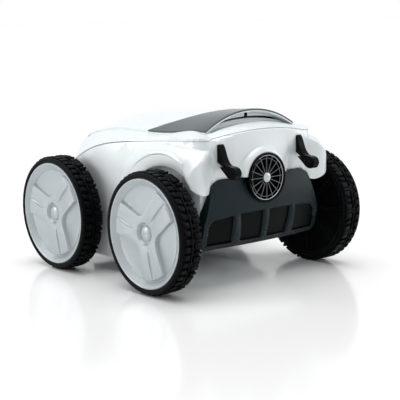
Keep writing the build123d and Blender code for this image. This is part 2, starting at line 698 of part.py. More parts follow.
def pocket_faces():
    """Four recessed panels in the lower half of the bumper."""
    low = BUMPER_BOTTOM_Z + 8
    outer = BUMPER_BOTTOM_HALF - 10
    pitch = (outer + POCKET_RIB / 2) / 2
    faces = []
    for hand in (1, -1):
        near = [(POCKET_RIB / 2, POCKET_TOP_Z), (pitch - POCKET_RIB / 2, POCKET_TOP_Z - 1),
                (pitch - POCKET_RIB, low), (POCKET_RIB / 2, low)]
        far = [(pitch + POCKET_RIB / 2, POCKET_TOP_Z - 2), (outer, POCKET_TOP_Z - 8),
               (outer - 2, low), (pitch + POCKET_RIB / 2, low)]
        inner = make_face(Polyline([(hand * x, z) for x, z in near], close=True))
        edge = make_face(Polyline([(hand * x, z) for x, z in far], close=True))
        tip = [v for v in edge.vertices() if abs(v.X) > outer - 1 and v.Y > POCKET_TOP_Z - 10]
        faces += [inner, fillet(tip, 16)]
    return faces


def rear_bumper():
    """Charcoal rear bumper with its recessed panels and the seat of the outlet ring."""
    behind_y = BODY_REAR_Y - 2 * CUT_REACH
    bumper = bumper_form(0) & extruded_back(bumper_outline(0), BUMPER_SEAT_Y, behind_y)
    core = bumper_form(POCKET_DEPTH)
    for face in pocket_faces():
        bumper -= extruded_back(face, BUMPER_SEAT_Y, behind_y) - core
    hollow = extruded_back(bumper_outline(-8), BUMPER_SEAT_Y, BUMPER_SKIN_Y)
    bumper -= hollow
    bumper -= rod_y(behind_y, 0, 0, OUTLET_Z, OUTLET_RADIUS + SEAT_GAP)
    return bumper


def bumper_bay(grow):
    """Space that the rear bumper takes from the body."""
    return extruded_back(bumper_outline(SEAM_GAP + grow), BUMPER_SEAT_Y + grow, BODY_REAR_Y - 2 * CUT_REACH)


def foot(hand):
    """Glossy boot-shaped support foot on the rear wall."""
    boot = Spline(FOOT_OUTLINE, tangents=[(-1, 0), (1, 0.6)])
    face = make_face([boot, Line(boot @ 1, boot @ 0)])
    return Pos(hand * FOOT_X, 0, 0) * extrude(Plane.YZ * face, FOOT_WIDTH / 2, both=True)


def foot_socket(hand):
    """Pocket in the rear wall that takes a foot's heel."""
    (_, high_z), (_, low_z) = FOOT_OUTLINE[0], FOOT_OUTLINE[-1]
    x, half = hand * FOOT_X, FOOT_WIDTH / 2 + SEAT_GAP
    return box(x - half, x + half, FOOT_TOE_Y, FOOT_HEEL_Y, low_z - FLANGE, high_z + SEAT_GAP)


def casing():
    """All the white casing as one hollow form, before its seams divide it."""
    outer = envelope(0) + fenders() + cowl() - bumper_bay(0) - belly_sweeps(0)
    inner = envelope(WALL) - bumper_bay(WALL) - belly_sweeps(WALL)
    hollow = outer - inner
    hollow -= rod_y(COWL_BACK_Y + COWL_ROOT, BODY_REAR_Y - 2 * CUT_REACH, 0, OUTLET_Z,
                    OUTLET_RADIUS + SEAT_GAP)
    hollow -= rod_y(REAR_AXLE_Y, BODY_REAR_Y - 2 * CUT_REACH, 0, OUTLET_Z, DUCT_RADIUS + DUCT_WALL + SEAT_GAP)
    for hand in (1, -1):
        hollow -= foot_socket(hand)
        for y in (REAR_AXLE_Y, FRONT_AXLE_Y):
            hollow -= rod_x(hand * GEAR_INNER_X, hand * TYRE_INNER_X, y, AXLE_Z, BUSH_RADIUS)
    return hollow


def chassis_tub(hollow):
    """Lower tub: floor, side walls, brush bay and the brushes' middle hanger."""
    tub = hollow & slab(0, TUB_JOINT_Z)
    roof_z = BRUSH_Z + BRUSH_RADIUS + BAY_CLEARANCE
    rear_y = BRUSH_Y - BRUSH_RADIUS - BAY_CLEARANCE
    tub += box(-BAY_HALF - BAY_WALL, BAY_HALF + BAY_WALL, rear_y - BAY_WALL,
               BODY_FRONT_CORNER_Y + WALL / 2, BELLY_Z, roof_z + BAY_WALL)
    tub -= box(-BAY_HALF, BAY_HALF, rear_y, BODY_FRONT_Y + CUT_REACH, 0, roof_z)
    hanger_half = BRUSH_INNER_X - SEAT_GAP
    tub += box(-hanger_half, hanger_half, BRUSH_Y - HANGER_REACH, BRUSH_Y + HANGER_REACH,
               BRUSH_Z - HANGER_REACH, roof_z + 1)
    tub += rod_x(-HANGER_PIN, HANGER_PIN, BRUSH_Y, BRUSH_Z, IDLER_PIN_RADIUS)
    for hand in (1, -1):
        tub -= rod_x(hand * (BAY_HALF - 1), hand * (BAY_HALF + BAY_WALL + 1), BRUSH_Y, BRUSH_Z,
                     BRUSH_SHAFT_RADIUS + RUNNING_FIT)
    tub -= box(-MOUTH_HALF, MOUTH_HALF, MOUTH_Y - MOUTH_LENGTH / 2, MOUTH_Y + MOUTH_LENGTH / 2,
               0, BELLY_Z + 2 * WALL)
    for x, y in SCREW_PLACES:
        tub -= rod_z(BELLY_Z - 1, BELLY_Z + WALL + 1, x, y, SCREW_RADIUS + RUNNING_FIT)
    return tub


def body_shell(hollow):
    """White side shell with the rear wall, the fenders and the outlet's cowl."""
    shell = (hollow - slab(0, TUB_JOINT_Z + SEAM_GAP)) & below_seam(0)
    return shell - rod_y(BODY_FRONT_Y - 2 * CUT_REACH, BODY_FRONT_Y + CUT_REACH, GLAND_X, GLAND_Z,
                         GLAND_THREAD)


def lid_form(drop, widen=0.0, front_y=None):
    """Arched form of the lid, lowered by a distance, down to a level below its edges."""
    base_z = 200.0
    half = LID_HALF + widen

    def section(y, top, edge):
        sagitta = top - edge
        radius = (LID_HALF ** 2 + sagitta ** 2) / (2 * sagitta)
        edge_z = top - radius + sqrt(radius ** 2 - half ** 2) - drop
        arch = Edge.make_three_point_arc((-half, y, edge_z), (0, y, top - drop), (half, y, edge_z))
        return Wire([
            arch, Edge.make_line((half, y, edge_z), (half, y, base_z)),
            Edge.make_line((half, y, base_z), (-half, y, base_z)),
            Edge.make_line((-half, y, base_z), (-half, y, edge_z)),
        ])

    form = Solid.make_loft([section(*station) for station in LID_STATIONS])
    return form & box(-half, half, LID_REAR_Y, front_y or LID_FRONT_Y, base_z, BODY_TOP_Z)


def hinge_knuckle(x0, x1):
    """One eye of the lid's hinge."""
    return rod_x(x0, x1, HINGE_Y, HINGE_Z, HINGE_KNUCKLE)


def hinge_bore():
    """Hole for the hinge pins."""
    return rod_x(-2 * HINGE_X, 2 * HINGE_X, HINGE_Y, HINGE_Z, HINGE_PIN_RADIUS + RUNNING_FIT)


def recess_arch(drop, y0, y1):
    """Everything above the arched floor of the finger recess, between two planes."""
    half = WELL_HALF
    floor_z, side_z = RECESS_FLOOR_Z - drop, RECESS_SIDE_Z - drop
    face = make_face([
        ThreePointArc((-half, side_z), (0, floor_z), (half, side_z)),
        Line((half, side_z), (half, BODY_TOP_Z)), Line((half, BODY_TOP_Z), (-half, BODY_TOP_Z)),
        Line((-half, BODY_TOP_Z), (-half, side_z)),
    ])
    return extruded_back(face, y1, y0)


def top_deck(hollow):
    """White deck round the filter well, with the lid's seat, finger recess and hinge eyes."""
    deck = hollow - below_seam(-SEAM_GAP)
    skirt_outer = envelope(WALL + SEAT_GAP)
    skirt = skirt_outer - envelope(WALL + SEAT_GAP + FLANGE)
    rim = envelope(WALL / 2) - envelope(WALL + SEAT_GAP + FLANGE / 2)
    no_rear = box(-WELL_HALF, WELL_HALF, BUMPER_SKIN_Y - WELL_HALF, BUMPER_SKIN_Y + FLANGE, 0, BODY_TOP_Z)
    deck += (skirt & below_seam(-SHOULDER_RISE / 2)) - below_seam(DECK_LIP) - no_rear
    deck += (rim & below_seam(-SHOULDER_RISE / 3)) - below_seam(-SEAM_GAP) - no_rear

    buried = envelope(WALL / 3)
    seat = box(-LID_HALF - LID_SEAT_DEPTH, LID_HALF + LID_SEAT_DEPTH, WELL_REAR_Y - FLANGE,
               DECK_FRONT_EDGE_Y + FLANGE, WELL_RIM_Z - LID_SEAT_DEPTH, BODY_TOP_Z)
    deck += ((buried - envelope(WALL + FLANGE)) & seat) - hinge_slots()
    wall = box(-WELL_HALF - WELL_WALL, WELL_HALF + WELL_WALL, WELL_REAR_Y - WELL_WALL,
               WELL_FRONT_Y + WELL_WALL, WELL_RIM_Z, BODY_TOP_Z)
    deck += buried & wall
    recess_front = LID_REAR_Y + CRESCENT_INSET + LID_EDGE
    pan = recess_arch(FLANGE, LID_REAR_Y - 2 * FLANGE, recess_front)
    deck += pan & skirt_outer
    deck -= recess_arch(0, LID_REAR_Y - FLANGE, recess_front - FLANGE)
    over_lid = box(-LID_HALF - LID_CLEARANCE, LID_HALF + LID_CLEARANCE, LID_REAR_Y,
                   DECK_FRONT_EDGE_Y, WELL_HALF, BODY_TOP_Z)
    deck -= over_lid - lid_form(LID_EDGE + LID_CLEARANCE, 2 * FLANGE, DECK_FRONT_EDGE_Y + 2 * FLANGE)
    deck -= box(-WELL_HALF, WELL_HALF, WELL_REAR_Y, WELL_FRONT_Y, WELL_HALF, BODY_TOP_Z)
    deck -= hinge_slots()
    deck += [eye for hand in (1, -1) for eye in deck_eyes(hand)]
    return deck - hinge_bore()


def hinge_slots():
    """Room in the deck for the lid's two hinge eyes."""
    half = HINGE_LUG / 2 + EYE_GAP
    return [box(hand * HINGE_X - half, hand * HINGE_X + half, WELL_FRONT_Y + WALL, DECK_FRONT_EDGE_Y + 1,
                HINGE_Z - 2 * HINGE_KNUCKLE, BODY_TOP_Z) for hand in (1, -1)]


def deck_eyes(hand):
    """The deck's two hinge eyes, one on each side of a lid eye."""
    half = HINGE_LUG / 2 + EYE_GAP
    spans = [(HINGE_X - half - EYE_WIDTH, HINGE_X - half), (HINGE_X + half, HINGE_X + half + EYE_WIDTH)]
    eyes = []
    for span in spans:
        x0, x1 = sorted(hand * x for x in span)
        web = box(x0, x1, HINGE_Y, DECK_FRONT_EDGE_Y + FLANGE, HINGE_Z - HINGE_KNUCKLE, HINGE_Z)
        eyes.append(hinge_knuckle(x0, x1) + web)
    return eyes


def hinge_pins():
    """Two steel pins of the lid's hinge."""
    reach = HINGE_LUG / 2 + EYE_WIDTH
    return joined(rod_x(hand * HINGE_X - reach, hand * HINGE_X + reach, HINGE_Y, HINGE_Z, HINGE_PIN_RADIUS)
                  for hand in (1, -1))


def window_region(shrink, rear_shrink=0.0):
    """Plan of the smoked window: straight at the rear, swept back in the middle at the front."""
    half = LID_HALF - shrink
    points = [(x * half / LID_HALF, y - shrink) for x, y in WINDOW_FRONT]
    front = Spline([(-x, y) for x, y in reversed(points[1:])] + points)
    rear_y = LID_REAR_Y + rear_shrink
    face = make_face([front, Line(front @ 1, (half, rear_y)), Line((half, rear_y), (-half, rear_y)),
                      Line((-half, rear_y), front @ 0)])
    return extrude(face, BODY_TOP_Z)


def lid_frame():
    """White lid: arched skin, window seat, rear wall and hinge eyes."""
    top = lid_form(0)
    skin = top - lid_form(LID_EDGE, 2.0, DECK_FRONT_EDGE_Y)
    skin -= window_region(0) - lid_form(WINDOW_THICKNESS, 2.0)
    skin -= window_region(WINDOW_FRAME, CRESCENT_INSET + WINDOW_FRAME)
    wall_y = LID_REAR_Y + CRESCENT_INSET
    wall = lid_form(LID_EDGE - 1) & box(-LID_HALF, LID_HALF, wall_y, wall_y + LID_EDGE / 2, 200, BODY_TOP_Z)
    wall -= Pos(0, 0, CRESCENT_LIFT) * envelope(0)
    skin += wall
    skin -= window_region(0) & (top - lid_form(WINDOW_THICKNESS, 2.0))
    for hand in (1, -1):
        x0, x1 = hand * HINGE_X - HINGE_LUG / 2, hand * HINGE_X + HINGE_LUG / 2
        web = box(x0, x1, LID_FRONT_Y - 3, HINGE_Y, HINGE_Z - HINGE_KNUCKLE, HINGE_Z)
        skin += (hinge_knuckle(x0, x1) + web) & lid_form(0, 0, DECK_FRONT_EDGE_Y)
        for x in (x0 - EYE_WIDTH - 2 * EYE_GAP, x1):
            skin -= rod_x(x, x + EYE_WIDTH + 2 * EYE_GAP, HINGE_Y, HINGE_Z, HINGE_KNUCKLE + EYE_GAP)
    skin -= latch_block(RUNNING_FIT * 2, LATCH_TRAVEL + SEAT_GAP)
    return skin - hinge_bore()


def lid_window():
    """Smoked window let into the lid."""
    return (lid_form(0) - lid_form(WINDOW_THICKNESS, 2.0)) & window_region(0)


def latch_block(grow=0.0, travel=0.0):
    """Oval latch button on the machine's middle line, or the room it slides in."""
    width, height = LATCH_WIDTH + 2 * grow, LATCH_HEIGHT + 2 * grow
    face = SlotOverall(height, width, rotation=90)
    wall_y = LID_REAR_Y + CRESCENT_INSET
    length = LATCH_LENGTH + travel
    return Pos(0, wall_y - LATCH_PROUD + length, LATCH_Z) * (Plane.XZ * extrude(face, length))


def outlet_bezel():
    """Glossy black ring round the water outlet."""
    length = BEZEL_BACK_Y - OUTLET_FACE_Y
    ring = rod_y(OUTLET_FACE_Y, BEZEL_BACK_Y, 0, OUTLET_Z, OUTLET_RADIUS)
    ring -= rod_y(OUTLET_FACE_Y, BEZEL_BACK_Y, 0, OUTLET_Z, OUTLET_RADIUS - OUTLET_RING_WALL)
    front = ring.edges().filter_by(GeomType.CIRCLE).group_by(Axis.Y)[0]
    return chamfer(front, OUTLET_RING_WALL / 3) if length > OUTLET_RING_WALL else ring


def outlet_grille():
    """Ring of thin radial spokes over the water outlet."""
    y0 = OUTLET_FACE_Y + GRILLE_SETBACK
    y1 = y0 + GRILLE_DEPTH
    radius = OUTLET_RADIUS - OUTLET_RING_WALL - RUNNING_FIT
    grille = rod_y(y0, y1, 0, OUTLET_Z, radius) - rod_y(y0, y1, 0, OUTLET_Z, radius - GRILLE_RING)
    inner_y = y0 + GRILLE_DEPTH / 2
    inner_r = radius * GRILLE_INNER_SHARE
    grille += rod_y(inner_y, y1, 0, OUTLET_Z, inner_r)
    grille -= rod_y(inner_y, y1, 0, OUTLET_Z, inner_r - GRILLE_RING)
    spoke = Pos(0, (y0 + y1) / 2, (radius - GRILLE_RING / 2) / 2) * Box(
        GRILLE_SPOKE_WIDTH, GRILLE_DEPTH, radius - GRILLE_RING / 2)
    step = 360.0 / GRILLE_SPOKES
    grille += [Pos(0, 0, OUTLET_Z) * Rot(0, n * step, 0) * spoke for n in range(GRILLE_SPOKES)]
    return grille + rod_y(y0, y1, 0, OUTLET_Z, GRILLE_HUB_RADIUS - 1)


def grille_hub():
    """Plain dome in the middle of the outlet grille."""
    rise = GRILLE_HUB_RADIUS / 2
    sphere_r = (GRILLE_HUB_RADIUS ** 2 + rise ** 2) / (2 * rise)
    y0 = OUTLET_FACE_Y + GRILLE_SETBACK
    dome = Pos(0, y0 - rise + sphere_r, OUTLET_Z) * Sphere(sphere_r)
    return dome & rod_y(y0 - rise - 1, y0, 0, OUTLET_Z, GRILLE_HUB_RADIUS)


def outlet_duct():
    """Tube round the propeller, with a bell mouth at its inner end."""
    y_bell = DUCT_FRONT_Y - DUCT_WALL * 3
    section = [
        (BEZEL_BACK_Y, DUCT_RADIUS), (BEZEL_BACK_Y, DUCT_RADIUS + DUCT_WALL),
        (y_bell, DUCT_RADIUS + DUCT_WALL), (DUCT_FRONT_Y, DUCT_RADIUS + 3 * DUCT_WALL),
        (DUCT_FRONT_Y, DUCT_RADIUS + 2 * DUCT_WALL), (y_bell, DUCT_RADIUS),
    ]
    face = make_face(Polyline([(r, y, 0) for y, r in section], close=True))
    tube = Pos(0, 0, OUTLET_Z) * revolve(face, Axis.Y, 360)
    for turn in (45, 165, 285):
        arm = box(PROPELLER_HUB_RADIUS, DUCT_RADIUS + DUCT_WALL / 2, y_bell - STAY_LENGTH, y_bell,
                  -DUCT_WALL / 2, DUCT_WALL / 2)
        tube += Pos(0, 0, OUTLET_Z) * Rot(0, turn, 0) * arm
    ring = rod_y(y_bell - STAY_LENGTH, y_bell, 0, OUTLET_Z, PROPELLER_HUB_RADIUS + 1)
    ring -= rod_y(y_bell - STAY_LENGTH, y_bell, 0, OUTLET_Z, MOTOR_SHAFT_RADIUS + RUNNING_FIT)
    return tube + ring


def propeller():
    """Pump propeller with twisted blades."""
    hub = rod_y(PROPELLER_REAR_Y, PROPELLER_REAR_Y + PROPELLER_LENGTH, 0, 0, PROPELLER_HUB_RADIUS)
    mid_y = PROPELLER_REAR_Y + PROPELLER_LENGTH / 2
    chord = PROPELLER_LENGTH * 1.25
    root = Plane((0, mid_y, PROPELLER_HUB_RADIUS - 2), x_dir=(0, 1, 0), z_dir=(0, 0, 1))
    tip = Plane((0, mid_y, PROPELLER_RADIUS + 2), x_dir=(0, 1, 0), z_dir=(0, 0, 1))
    blade = loft([root * Rot(0, 0, 25) * Rectangle(chord * 0.8, 2.6),
                  tip * Rot(0, 0, 55) * Rectangle(chord, 1.8)])
    wheel = hub + [Rot(0, 360.0 * n / PROPELLER_BLADES, 0) * blade for n in range(PROPELLER_BLADES)]
    wheel &= rod_y(PROPELLER_REAR_Y - chord, PROPELLER_REAR_Y + 2 * chord, 0, 0, PROPELLER_RADIUS)
    bore = rod_y(PROPELLER_REAR_Y + WALL, PROPELLER_REAR_Y + chord, 0, 0, MOTOR_SHAFT_RADIUS + RUNNING_FIT)
    return Pos(0, 0, OUTLET_Z) * (wheel - bore)


def pump_shaft():
    """Shaft from the pump motor to the propeller."""
    return rod_y(PROPELLER_REAR_Y + WALL, MOTOR_REAR_Y + SHAFT_GRIP, 0, OUTLET_Z, MOTOR_SHAFT_RADIUS)


def motor_block():
    """Sealed block with the pump motor above and the two drive motors across."""
    block = rod_y(MOTOR_REAR_Y, MOTOR_FRONT_Y, 0, OUTLET_Z, PUMP_RADIUS)
    block += rod_x(-MOTOR_HALF, MOTOR_HALF, PINION_Y, AXLE_Z, DRIVE_MOTOR_RADIUS)
    case_floor = AXLE_Z - DRIVE_MOTOR_RADIUS - WALL
    case = box(-MOTOR_CASE_HALF, MOTOR_CASE_HALF, PINION_Y - MOTOR_CASE_REACH, MOTOR_FRONT_Y - WALL,
               case_floor, OUTLET_Z)
    block += fillet(case.edges().filter_by(Axis.Z), FIN_PITCH)
    for n in range(MOTOR_FINS):
        y = MOTOR_REAR_Y + FIN_PITCH * (n + 1)
        block += rod_y(y, y + FIN_SIZE, 0, OUTLET_Z, PUMP_RADIUS + FIN_SIZE)
    for x in (-POST_X, POST_X):
        for y in (PINION_Y - 3 * POST_RADIUS, PINION_Y + 3 * POST_RADIUS):
            block += rod_z(BELLY_Z + WALL, case_floor + WALL, x, y, POST_RADIUS)
    block -= belly_sweeps(WALL)
    block -= rod_y(MOTOR_REAR_Y - 1, MOTOR_REAR_Y + SHAFT_GRIP + 1, 0, OUTLET_Z,
                   MOTOR_SHAFT_RADIUS + RUNNING_FIT)
    block -= rod_x(-MOTOR_HALF - 1, -PINION_SHAFT_X + 1, PINION_Y, AXLE_Z, MOTOR_SHAFT_RADIUS + RUNNING_FIT)
    block -= rod_x(PINION_SHAFT_X - 1, MOTOR_HALF + 1, PINION_Y, AXLE_Z, MOTOR_SHAFT_RADIUS + RUNNING_FIT)
    return block


def gear_plate():
    """Right-hand gearbox plate with the two idler pins."""
    nose_y = BRUSH_Y + PINION_R + GEAR_PLATE_MARGIN / 2
    top_z = AXLE_Z + WHEEL_GEAR_R + GEAR_PLATE_MARGIN
    face = make_face(Polyline([(y, z) for y, z in (
        (REAR_AXLE_Y - WHEEL_GEAR_R, BUMPER_BOTTOM_Z + WALL),
        (TAIL_SWEEP_Y + 2 * WALL, BELLY_Z + WALL),
        (BRUSH_Y + PINION_R / 2, BELLY_Z + WALL), (nose_y, BRUSH_Z - PINION_R),
        (nose_y, BRUSH_Z + PINION_R + WALL),
        (FRONT_AXLE_Y + WHEEL_GEAR_R + GEAR_PLATE_MARGIN, AXLE_Z + PINION_R),
        (FRONT_AXLE_Y + WHEEL_GEAR_R / 2, top_z), (REAR_AXLE_Y - WHEEL_GEAR_R / 2, top_z),
        (REAR_AXLE_Y - WHEEL_GEAR_R, AXLE_Z + PINION_R))], close=True))
    x1 = GEAR_PLATE_X + GEAR_PLATE_THICKNESS
    plate = Pos(GEAR_PLATE_X, 0, 0) * extrude(Plane.YZ * face, GEAR_PLATE_THICKNESS)
    plate -= rod_x(GEAR_PLATE_X - 1, x1 + 1, PINION_Y, AXLE_Z, 2 * MOTOR_SHAFT_RADIUS)
    plate -= rod_x(GEAR_PLATE_X - 1, x1 + 1, BRUSH_Y, BRUSH_Z, BRUSH_SHAFT_RADIUS + 1)
    for y in (IDLER_REAR_Y, IDLER_FRONT_Y):
        plate += rod_x(x1, GEAR_INNER_X + GEAR_WIDTH + GEAR_PLATE_THICKNESS, y, AXLE_Z, IDLER_PIN_RADIUS)
        plate += rod_x(x1, GEAR_INNER_X - SEAT_GAP, y, AXLE_Z, GEAR_PLATE_MARGIN)
    return plate


def axle_bushes():
    """Plain bearings of the four wheel axles."""
    bushes = []
    for hand in (1, -1):
        for y in (REAR_AXLE_Y, FRONT_AXLE_Y):
            ring = rod_x(hand * BUSH_INNER_X, hand * BUSH_OUTER_X, y, AXLE_Z, BUSH_RADIUS - RUNNING_FIT)
            ring -= rod_x(hand * BUSH_INNER_X, hand * BUSH_OUTER_X, y, AXLE_Z, AXLE_RADIUS + RUNNING_FIT)
            bushes.append(ring)
    return joined(bushes)


def brush_core():
    """Right-hand brush drum with its shaft and pinion."""
    drum = rod_x(BRUSH_INNER_X, BRUSH_OUTER_X, BRUSH_Y, BRUSH_Z, BRUSH_CORE_RADIUS)
    drum += rod_x(BRUSH_OUTER_X, GEAR_INNER_X, BRUSH_Y, BRUSH_Z, BRUSH_SHAFT_RADIUS)
    gap_phase = BRUSH_ANGLE + 180.0 + 180.0 / PINION_TEETH
    drum += gear(PINION_TEETH, gap_phase, BRUSH_Y, BRUSH_Z)
    return drum - rod_x(0, HANGER_PIN + 1, BRUSH_Y, BRUSH_Z, IDLER_PIN_RADIUS + RUNNING_FIT)


def brush_blades():
    """Right-hand rubber sleeve with its scrubbing blades."""
    x0, x1 = BRUSH_INNER_X + 2, BRUSH_OUTER_X - 2
    sleeve_r = BRUSH_CORE_RADIUS + RUNNING_FIT
    sleeve = rod_x(x0, x1, 0, 0, sleeve_r + SLEEVE_WALL)
    blade = box(x0, x1, -BLADE_THICKNESS / 2, BLADE_THICKNESS / 2, sleeve_r + SLEEVE_WALL / 2, BRUSH_RADIUS)
    sleeve += [Rot(360.0 * n / BRUSH_BLADES, 0, 0) * blade for n in range(BRUSH_BLADES)]
    return Pos(0, BRUSH_Y, BRUSH_Z) * (sleeve - rod_x(x0, x1, 0, 0, sleeve_r))


def filter_frame():
    """Open cage of the filter canister, with the mouth in its floor."""
    outer = box(-FILTER_HALF, FILTER_HALF, FILTER_REAR_Y, FILTER_FRONT_Y, FILTER_BOTTOM_Z, FILTER_TOP_Z)
    outer = fillet(outer.edges().filter_by(Axis.Z), FILTER_POST)
    inner = box(-FILTER_HALF + CAGE_WALL, FILTER_HALF - CAGE_WALL, FILTER_REAR_Y + CAGE_WALL,
                FILTER_FRONT_Y - CAGE_WALL, FILTER_BOTTOM_Z + CAGE_FLOOR, FILTER_TOP_Z + 1)
    cage = outer - inner
    low, high = FILTER_BOTTOM_Z + FILTER_BAND, FILTER_TOP_Z - FILTER_BAND
    middle = (low + high) / 2
    cut = FILTER_POST + CAGE_WALL / 2
    for z0, z1 in ((low, middle - CAGE_WALL), (middle + CAGE_WALL, high)):
        for x0, x1 in ((-FILTER_HALF + cut, -CAGE_WALL), (CAGE_WALL, FILTER_HALF - cut)):
            cage -= box(x0, x1, FILTER_REAR_Y - 1, FILTER_FRONT_Y + 1, z0, z1)
        mid_y = (FILTER_REAR_Y + FILTER_FRONT_Y) / 2
        for y0, y1 in ((FILTER_REAR_Y + cut, mid_y - CAGE_WALL), (mid_y + CAGE_WALL, FILTER_FRONT_Y - cut)):
            cage -= box(-FILTER_HALF - 1, FILTER_HALF + 1, y0, y1, z0, z1)
    return cage - box(-MOUTH_HALF, MOUTH_HALF, MOUTH_Y - MOUTH_LENGTH / 2, MOUTH_Y + MOUTH_LENGTH / 2,
                      FILTER_BOTTOM_Z - 1, FILTER_BOTTOM_Z + CAGE_FLOOR + 1)


def filter_mesh():
    """Four mesh panels inside the cage."""
    inset, corner = CAGE_WALL + RUNNING_FIT, 2 * CAGE_WALL
    z0, z1 = FILTER_BOTTOM_Z + CAGE_FLOOR + 1, FILTER_TOP_Z - CAGE_WALL
    x_in, y_r, y_f = FILTER_HALF - inset, FILTER_REAR_Y + inset, FILTER_FRONT_Y - inset
    x_end, y_low, y_high, thick = x_in - corner, y_r + corner, y_f - corner, MESH_THICKNESS
    return joined([
        box(-x_in, -x_in + thick, y_low, y_high, z0, z1), box(x_in - thick, x_in, y_low, y_high, z0, z1),
        box(-x_end, x_end, y_r, y_r + thick, z0, z1), box(-x_end, x_end, y_f - thick, y_f, z0, z1),
    ])


def filter_cover():
    """Lid of the filter canister."""
    plate = box(-FILTER_HALF, FILTER_HALF, FILTER_REAR_Y, FILTER_FRONT_Y, FILTER_TOP_Z,
                FILTER_TOP_Z + COVER_THICKNESS)
    plate = fillet(plate.edges().filter_by(Axis.Z), FILTER_POST)
    mid_y = (FILTER_REAR_Y + FILTER_FRONT_Y) / 2
    for hand in (1, -1):
        x = hand * HANDLE_HALF
        plate += box(x - HANDLE_BAR, x + HANDLE_BAR, mid_y - 2 * HANDLE_BAR, mid_y + 2 * HANDLE_BAR,
                     FILTER_TOP_Z + COVER_THICKNESS / 2, FILTER_TOP_Z + HANDLE_LUG)
    return plate


def filter_handle():
    """Carrying bow of the filter canister."""
    mid_y = (FILTER_REAR_Y + FILTER_FRONT_Y) / 2
    z0, half_depth, bar = FILTER_TOP_Z + HANDLE_LUG, 1.5 * HANDLE_BAR, HANDLE_BAR
    z1 = z0 + HANDLE_RISE
    bow = box(-HANDLE_HALF - bar, HANDLE_HALF + bar, mid_y - half_depth, mid_y + half_depth, z0, z1)
    bow = fillet(bow.edges().filter_by(Axis.Y).group_by(Axis.Z)[-1], 2.5 * bar)
    return bow - box(-HANDLE_HALF + bar, HANDLE_HALF - bar, mid_y - 2 * bar, mid_y + 2 * bar, z0 - 1,
                     z1 - 1.5 * bar)


def intake_plate():
    """Belly plate with the suction mouth and its throat up to the filter."""
    low_z = BELLY_Z - PLATE_THICKNESS
    plate = box(-PLATE_HALF, PLATE_HALF, MOUTH_Y - PLATE_REACH, MOUTH_Y + PLATE_REACH, low_z, BELLY_Z)
    plate = fillet(plate.edges().filter_by(Axis.Z), PLATE_CORNER)
    half, length = MOUTH_HALF - SEAT_GAP, MOUTH_LENGTH / 2 - SEAT_GAP
    throat_top = FILTER_BOTTOM_Z - SEAT_GAP
    plate += box(-half, half, MOUTH_Y - length, MOUTH_Y + length, low_z, throat_top)
    plate -= box(-half + THROAT_WALL, half - THROAT_WALL, MOUTH_Y - length + THROAT_WALL,
                 MOUTH_Y + length - THROAT_WALL, 0, throat_top + 1)
    plate -= rod_x(-half, half, FLAP_HINGE_Y, FLAP_Z, FLAP_PIN_RADIUS + RUNNING_FIT)
    for x, y in SCREW_PLACES:
        plate -= rod_z(0, BELLY_Z + 1, x, y, SCREW_RADIUS + RUNNING_FIT)
        plate -= rod_z(0, SCREW_SEAT_Z, x, y, SCREW_HEAD_RADIUS + SEAT_GAP)
    return plate


def intake_flap():
    """Flap that keeps the dirt in when the machine is lifted; it hangs on its own pin."""
    half = MOUTH_HALF - FLAP_MARGIN
    y0, y1 = FLAP_HINGE_Y, MOUTH_Y + MOUTH_LENGTH / 2 - FLAP_MARGIN
    plate = box(-half, half, y0, y1, FLAP_Z - FLAP_THICKNESS / 2, FLAP_Z + FLAP_THICKNESS / 2)
    return plate + rod_x(-half - FLAP_PIN_REACH, half + FLAP_PIN_REACH, y0, FLAP_Z, FLAP_PIN_RADIUS)


def belly_screws():
    """Screws of the belly plate."""
    screws = []
    for x, y in SCREW_PLACES:
        head = rod_z(SCREW_SEAT_Z - SCREW_HEAD_DEPTH, SCREW_SEAT_Z, x, y, SCREW_HEAD_RADIUS)
        screws.append(head + rod_z(SCREW_SEAT_Z, BELLY_Z + 2 * WALL, x, y, SCREW_RADIUS))
    return joined(screws)


def float_blocks():
    """Buoyancy foam high up on both sides."""
    return joined(box(*sorted((hand * FLOAT_INNER_X, hand * FLOAT_OUTER_X)), FLOAT_REAR_Y, FLOAT_FRONT_Y,
                      FLOAT_LOW_Z, FLOAT_TOP_Z) for hand in (1, -1))


def cable_gland():
    """Gland in the nose where the supply cable goes in."""
    y0 = BODY_FRONT_Y - GLAND_DEPTH
    gland = rod_y(y0, BODY_FRONT_Y + GLAND_PROUD, GLAND_X, GLAND_Z, GLAND_THREAD - RUNNING_FIT)
    nut = Plane.XZ * extrude(RegularPolygon(GLAND_NUT, 6), -GLAND_PROUD)
    gland += Pos(GLAND_X, BODY_FRONT_Y, GLAND_Z) * nut
    return gland - rod_y(y0 - 1, BODY_FRONT_Y + CUT_REACH, GLAND_X, GLAND_Z, GLAND_BORE)


# ---------------------------------------------------------------- colours
WHITE = (0.93, 0.95, 0.96)
SILVER = (0.72, 0.76, 0.78)
CHARCOAL = (0.16, 0.18, 0.19)
GLOSS_BLACK = (0.03, 0.03, 0.035)
RUBBER = (0.05, 0.05, 0.055)
SMOKE = (0.35, 0.36, 0.38)
MACHINE_GREY = (0.45, 0.47, 0.5)
GEAR_WHITE = (0.85, 0.84, 0.78)
STEEL = (0.7, 0.7, 0.72)
FOAM = (0.8, 0.8, 0.78)
BLUE_RUBBER = (0.16, 0.3, 0.46)

